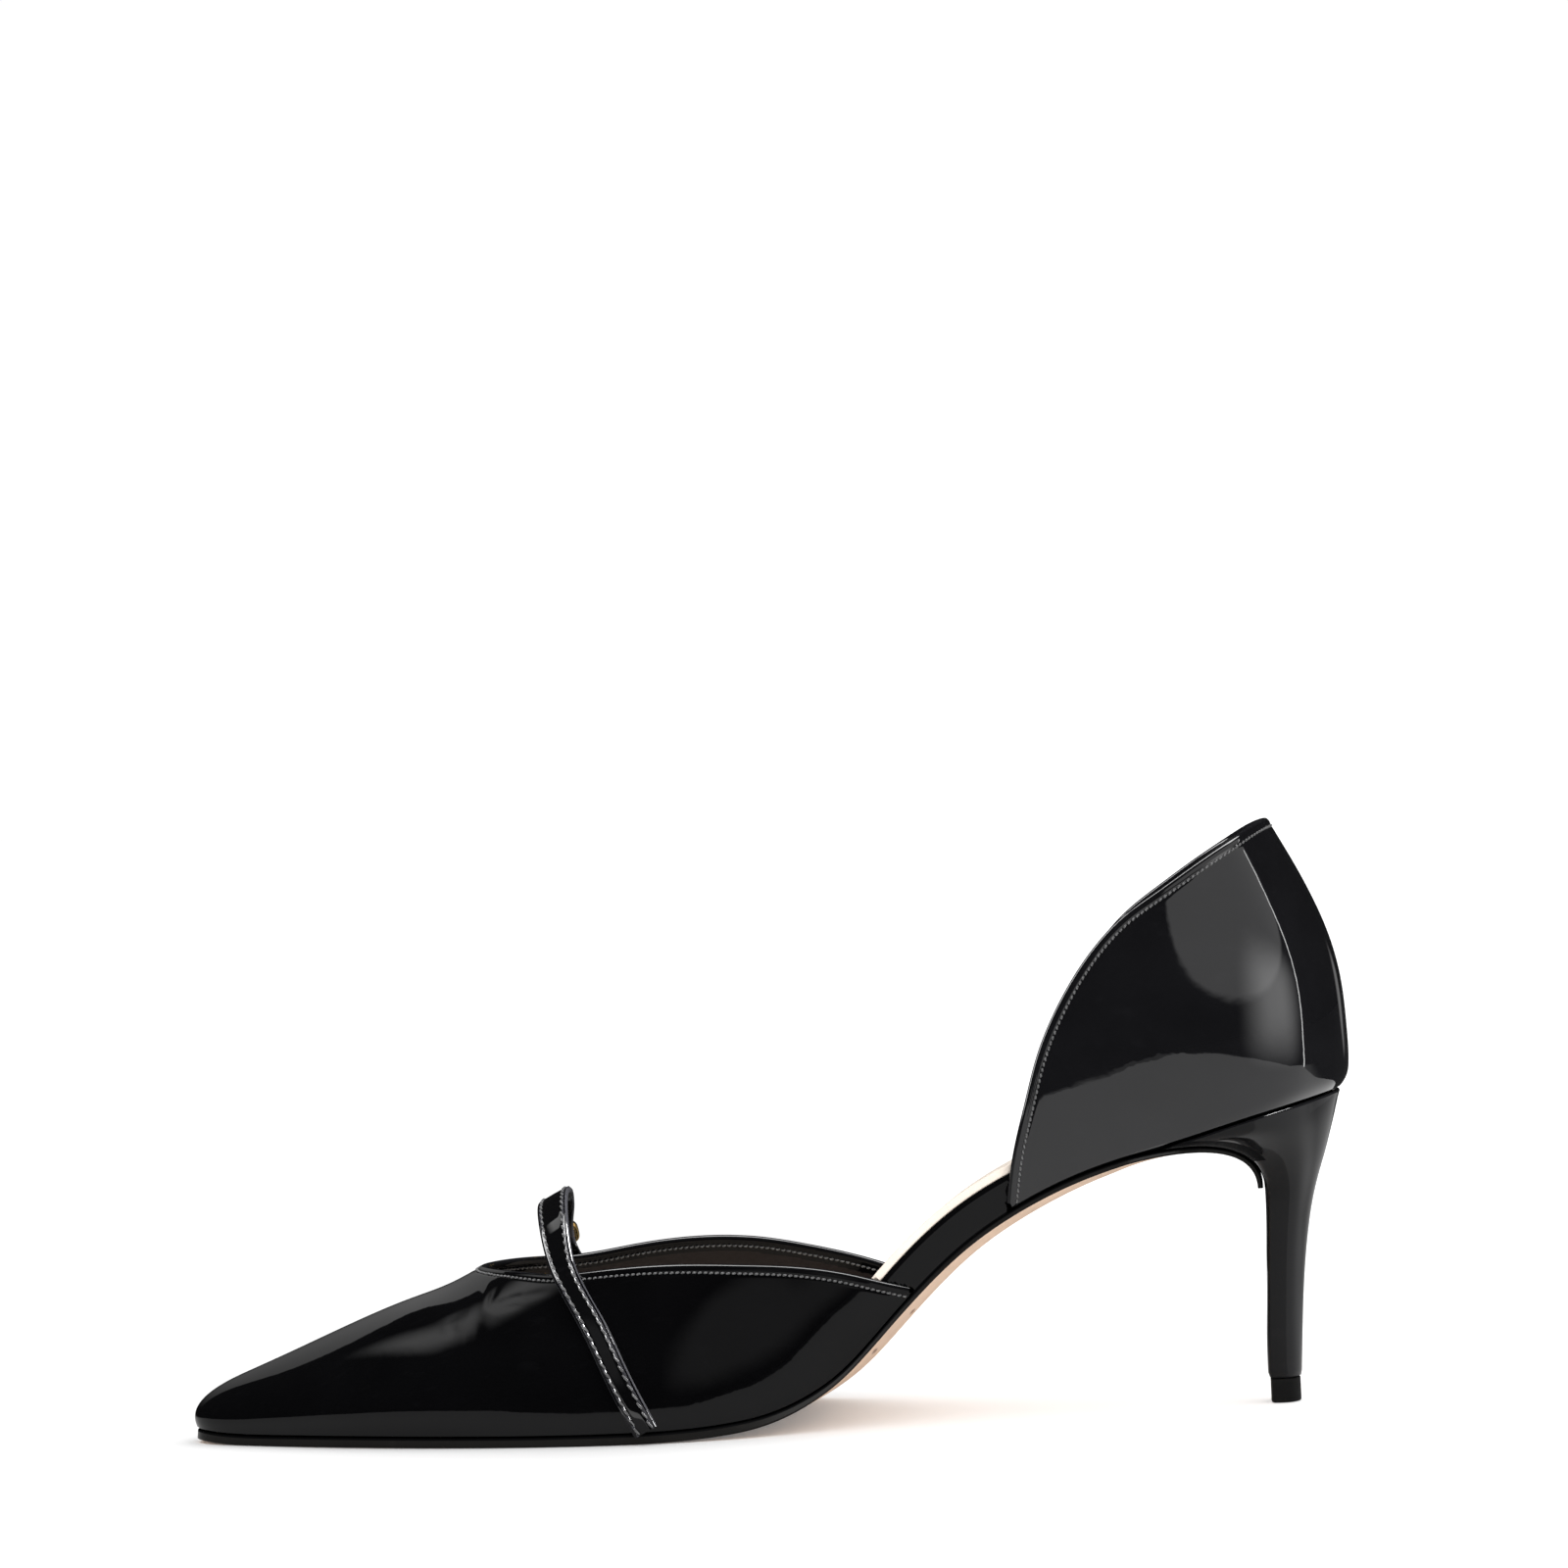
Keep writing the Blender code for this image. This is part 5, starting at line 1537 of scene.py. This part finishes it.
# Soft panels: middle, point that each faces, turn in its plane, width and height in metres, radiance, share
# of the face over which the edge fades, power of the corners (2 is an ellipse), power of the fall towards
# its lower edge, and the pieces that it is kept to
Panel = namedtuple("Panel", "name middle aim turn_deg width height radiance soft corner fall pieces")
EDGES = ("topline_fold", "collar_fold", "strap_folds", "buckle_wire", "buckle_pin")
STRAPS = ("strap_band", "tab_band", "stitches")
PANELS = (
    Panel("over_edges", (0.0, 0.0, 1.0), (0.0, 0.0, 0.05), 0, 1.6, 0.4, 30.0, 0.1, 8, 0, EDGES),
    Panel("left_edges", (-0.9, 0.0, 0.6), (0.05, 0.0, 0.08), 0, 0.4, 0.8, 30.0, 0.1, 8, 0, EDGES),
    Panel("right_folds", (0.53, -0.19, 0.56), (-0.03, -0.03, 0.02), 0, 0.8, 0.8, 250.0, 0.1, 8, 0,
          ("strap_folds",)),
    Panel("left_folds", (-0.79, -0.254, 0.2), (-0.03, -0.03, 0.02), 0, 0.8, 0.5, 70.0, 0.1, 8, 0,
          ("strap_folds",)),
    Panel("front_straps", (-0.226, -0.632, 0.328), (-0.03, -0.03, 0.02), 0, 0.5, 0.5, 0.5, 0.5, 4, 0,
          ("strap_band", "tab_band")),
    Panel("over_straps", (0.0, 0.17, 1.0), (0.0, 0.0, 0.05), 0, 1.6, 0.3, 4.5, 0.1, 8, 0, STRAPS),
    Panel("vamp_high", (-0.371, 0.006, 0.536), (-0.041, -0.021, 0.036), 14, 0.44, 0.16, 2.2, 0.9, 3, 0,
          ("vamp",)),
    Panel("vamp_back", (-0.358, 0.472, 0.25), (-0.08, -0.01, 0.025), 20, 0.56, 0.378, 1.0, 0.05, 12, 1.6,
          ("vamp",)),
    Panel("vamp_front", (0.167, -0.576, 0.21), (0.0, -0.03, 0.025), 0, 0.37, 0.39, 0.45, 0.5, 3, 0,
          ("vamp",)),
    Panel("cup_side", (0.2858, -0.5134, 0.713), (-0.3299, 0.2746, 0.713), 0, 1.8, 1.15, 3.0, 0.05, 2, 0,
          ("quarter",)),
    Panel("cup_low", (0.281, -0.136, 0.11), (0.143, 0.009, 0.11), 0, 0.38, 0.19, 8.0, 0.9, 3, 0,
          ("quarter",)),
    Panel("cup_strip", (0.4, -0.015, 0.16), (0.1, -0.015, 0.16), 0, 0.006, 0.28, 25.0, 0.0, 8, 0,
          ("quarter",)),
    Panel("cup_back", (0.464, 0.49, 0.09), (0.12, 0.0, 0.09), 0, 0.12, 0.17, 0.8, 0.6, 2, 0, ("quarter",)),
    Panel("cup_table", (-0.807, -1.205, 0.002), (-0.807, -1.205, 1.0), 25.5, 1.4, 3.28, 2.0, 0.0, 8, 0,
          ("quarter",)),
    Panel("stem_table", (0.767, 0.033, 0.002), (0.767, 0.033, 1.0), -28, 1.2, 1.05, 0.6, 0.0, 8, 0,
          ("heel_covered",)),
    Panel("heel_table", (0.875, 0.4, 0.002), (0.875, 0.4, 1.0), 0, 1.05, 0.7, 0.25, 0.0, 8, 0,
          ("heel_covered",)),
    Panel("waist_fill", (0.4, -0.6, 0.12), (0.04, 0.0, 0.03), 0, 0.6, 0.4, 5.0, 0.0, 8, 0,
          ("sock", "outsole_dressed")),
    Panel("lip_glint", (0.57, -0.26, 0.83), (0.11, -0.02, 0.06), 0, 0.66, 0.2, 160.0, 0.3, 4, 0,
          ("heel_covered",)),
    Panel("strap_table", (-0.03, -0.55, 0.002), (-0.03, -0.55, 1.0), 0, 1.0, 0.9, 3.6, 0.0, 8, 0,
          ("strap_band",)),
)


def panel_fade(tree, row):
    """Strength over a panel's face: 1 inside a superellipse, 0 outside it, times a power of the height."""
    place = tree.nodes.new("ShaderNodeNewGeometry").outputs["Parametric"]
    centred = vector_node(tree, "MULTIPLY_ADD", place, (2.0, 2.0, 0.0), (-1.0, -1.0, 0.0))[0]
    away = split_node(tree, vector_node(tree, "ABSOLUTE", centred)[0])
    across = math_node(tree, "POWER", away["X"], row.corner)
    up = math_node(tree, "POWER", away["Y"], row.corner)
    reach = math_node(tree, "POWER", math_node(tree, "ADD", across, up), 1.0 / row.corner)
    inside = ramp_node(tree, reach, 1.0, 1.0 - row.soft, easing="SMOOTHSTEP")
    risen = math_node(tree, "POWER", split_node(tree, place)["Y"], row.fall)
    return math_node(tree, "MULTIPLY", inside, risen)


def camera_matrix():
    """Camera that looks at the target from its azimuth and elevation, rolled, and turned off the target so
    that the target falls on its pixel.
    """
    azimuth = math.radians(CAMERA_AZIMUTH)
    elevation = math.radians(CAMERA_ELEVATION)
    roll = math.radians(CAMERA_ROLL)
    level = math.cos(elevation)
    back = np.array([math.sin(azimuth) * level, -math.cos(azimuth) * level, math.sin(elevation)])
    right = np.array([math.cos(azimuth), math.sin(azimuth), 0.0])
    up = np.cross(right, -back)
    rolled = np.array([[math.cos(roll), -math.sin(roll)], [math.sin(roll), math.cos(roll)]])
    right, up = rolled @ np.stack([right, up])
    focal = CAMERA_LENS / SENSOR * PICTURE_SIZE
    aside = (TARGET_PIXEL[0] - PICTURE_SIZE / 2) / focal
    above = (PICTURE_SIZE / 2 - TARGET_PIXEL[1]) / focal
    forward = unit(-back - aside * right - above * up)
    right = unit(right - (right @ forward) * forward)
    up = np.cross(right, forward)
    place = (CAMERA_TARGET + FRAME_SHIFT + CAMERA_DISTANCE * back) * MM
    turn = Matrix(np.stack([right, up, -forward], axis=1).tolist()).to_4x4()
    return Matrix.Translation(Vector(place)) @ turn


class PUMP_OT_stage(bpy.types.Operator):
    """Add the pale floor, the soft studio light and the camera"""

    bl_idname = "pump.stage"
    bl_label = "Add stage"

    def execute(self, context):
        self.add_floor(context)
        self.add_lights(context)
        self.add_world(context)
        data = bpy.data.cameras.new("camera")
        data.lens = CAMERA_LENS
        data.sensor_width = SENSOR
        data.clip_start = 0.01
        data.clip_end = 50.0
        camera = bpy.data.objects.new("camera", data)
        camera.matrix_world = camera_matrix()
        context.scene.collection.objects.link(camera)
        context.scene.camera = camera
        context.scene.view_settings.view_transform = "Standard"
        return {"FINISHED"}

    def add_floor(self, context):
        """Wide flat floor of pale board, with painted shade: dark in the gloss behind the shoe and beside
        its heel.

        For the camera alone a painted glow lifts it, most under the arch, to wash out the shade there.
        """
        sides = ((-1, -1), (1, -1), (1, 1), (-1, 1))
        corners = [(across * FLOOR_HALF, deep * FLOOR_HALF, -FLOOR_DROP) for across, deep in sides]
        mesh = bpy.data.meshes.new("floor")
        mesh.from_pydata(corners, [], [(0, 1, 2, 3)])
        material, tree, shader, place = new_finish("floor_board")
        spot = split_node(tree, place)
        rays = tree.nodes.new("ShaderNodeLightPath").outputs
        behind = ramp_node(tree, spot["Y"], 0.0, 0.1, easing="SMOOTHSTEP")
        slant = vector_node(tree, "DOT_PRODUCT", place, (0.902, -0.431, 0.0))["Value"]
        beside = ramp_node(tree, slant, 0.49, 0.51, easing="SMOOTHSTEP")
        # Painted shade: for glossy rays the floor's colour falls to 4 % behind the shoe and beside its heel
        painted_gloss_shade = math_node(tree, "MULTIPLY", math_node(tree, "MAXIMUM", behind, beside), rays["Is Glossy Ray"])
        # Painted glow: for camera rays the floor emits 0.06 at the toe, rising to 0.36 under the arch, to
        # wash out its shade
        arch = ramp_node(tree, spot["X"], -0.04, 0.05, 0.06, 0.36, "SMOOTHSTEP")
        drift = noise_node(tree, place, 3.0, 2.0)["Fac"]
        set_inputs(shader, Specular_IOR_Level=0.05, Emission_Strength=1.0)
        feed(tree, shader, Base_Color=two_tone(tree, painted_gloss_shade, context.scene.pump_colours.floor, 1.0, 0.04),
             Roughness=ramp_node(tree, drift, 0.0, 1.0, 0.42, 0.5),
             Emission_Color=math_node(tree, "MULTIPLY", arch, rays["Is Camera Ray"]))
        mesh.materials.append(material)
        floor = bpy.data.objects.new("floor", mesh)
        context.scene.collection.objects.link(floor)

    def add_panel(self, context, row):
        """One soft panel, seen only by the pieces that it is kept to."""
        data = bpy.data.lights.new(row.name, "AREA")
        data.shape = "RECTANGLE"
        data.size = row.width
        data.size_y = row.height
        data.energy = row.radiance * math.pi * row.width * row.height
        light = bpy.data.objects.new(row.name, data)
        light.location = row.middle
        aim = Vector(row.aim) - Vector(row.middle)
        turn = Matrix.Rotation(math.radians(row.turn_deg), 3, "Z")
        light.rotation_euler = (aim.to_track_quat("-Z", "Y").to_matrix() @ turn).to_euler()
        light.visible_camera = False
        context.scene.collection.objects.link(light)
        if row.soft:
            data.use_nodes = True
            tree = data.node_tree
            tree.links.new(panel_fade(tree, row), tree.nodes["Emission"].inputs["Strength"])
        kept = bpy.data.collections.new(row.name)
        for piece in row.pieces:
            kept.objects.link(bpy.data.objects[piece])
        light.light_linking.receiver_collection = kept

    def add_lights(self, context):
        """Soft panels that show in the gloss, and a wide sky light for the floor that doesn't."""
        for row in PANELS:
            self.add_panel(context, row)
        data = bpy.data.lights.new("sky", "SUN")
        data.energy = SKY_STRENGTH
        data.angle = math.radians(SKY_SPREAD_DEG)
        sky = bpy.data.objects.new("sky", data)
        sky.visible_glossy = False
        context.scene.collection.objects.link(sky)

    def add_world(self, context):
        """White behind the shoe, dark in its gloss, and soft all round for the rest."""
        world = bpy.data.worlds.new("studio")
        world.use_nodes = True
        tree = world.node_tree
        rays = tree.nodes.new("ShaderNodeLightPath").outputs
        soft = math_node(tree, "MULTIPLY_ADD", rays["Is Diffuse Ray"], WORLD_SOFT, WORLD_GLOSS)
        level = math_node(tree, "ADD", rays["Is Camera Ray"], soft)
        sky = tree.nodes["Background"]
        sky.inputs["Color"].default_value = (1.0, 1.0, 1.0, 1.0)
        tree.links.new(level, sky.inputs["Strength"])
        context.scene.world = world


class PUMP_PT_panel(bpy.types.Panel):
    """Sidebar with the sizes, the colours and the steps in order"""

    bl_idname = "PUMP_PT_panel"
    bl_label = "Patent pump"
    bl_space_type = "VIEW_3D"
    bl_region_type = "UI"
    bl_category = "Pump"

    def draw(self, context):
        for group in (context.scene.pump_sizes, context.scene.pump_colours):
            box = self.layout.box()
            for name in group.__annotations__:
                box.prop(group, name)
        for operator in OPERATORS:
            self.layout.operator(operator.bl_idname)


OPERATORS = (PUMP_OT_vamp, PUMP_OT_quarter, PUMP_OT_bottom, PUMP_OT_heel, PUMP_OT_strap, PUMP_OT_buckle,
             PUMP_OT_stitches, PUMP_OT_stage)
CLASSES = (PumpSizes, PumpColours, *OPERATORS, PUMP_PT_panel)


def register():
    """Add the classes and the scene's properties."""
    for item in CLASSES:
        bpy.utils.register_class(item)
    bpy.types.Scene.pump_sizes = PointerProperty(type=PumpSizes)
    bpy.types.Scene.pump_colours = PointerProperty(type=PumpColours)


def unregister():
    """Take the scene's properties and the classes away again."""
    del bpy.types.Scene.pump_sizes
    del bpy.types.Scene.pump_colours
    for item in reversed(CLASSES):
        bpy.utils.unregister_class(item)


def main():
    """Register the classes and the scene's properties, then build the shoe and its studio in order."""
    register()
    for operator in OPERATORS:
        family, name = operator.bl_idname.split(".")
        getattr(getattr(bpy.ops, family), name)()


if __name__ == "__main__":
    main()
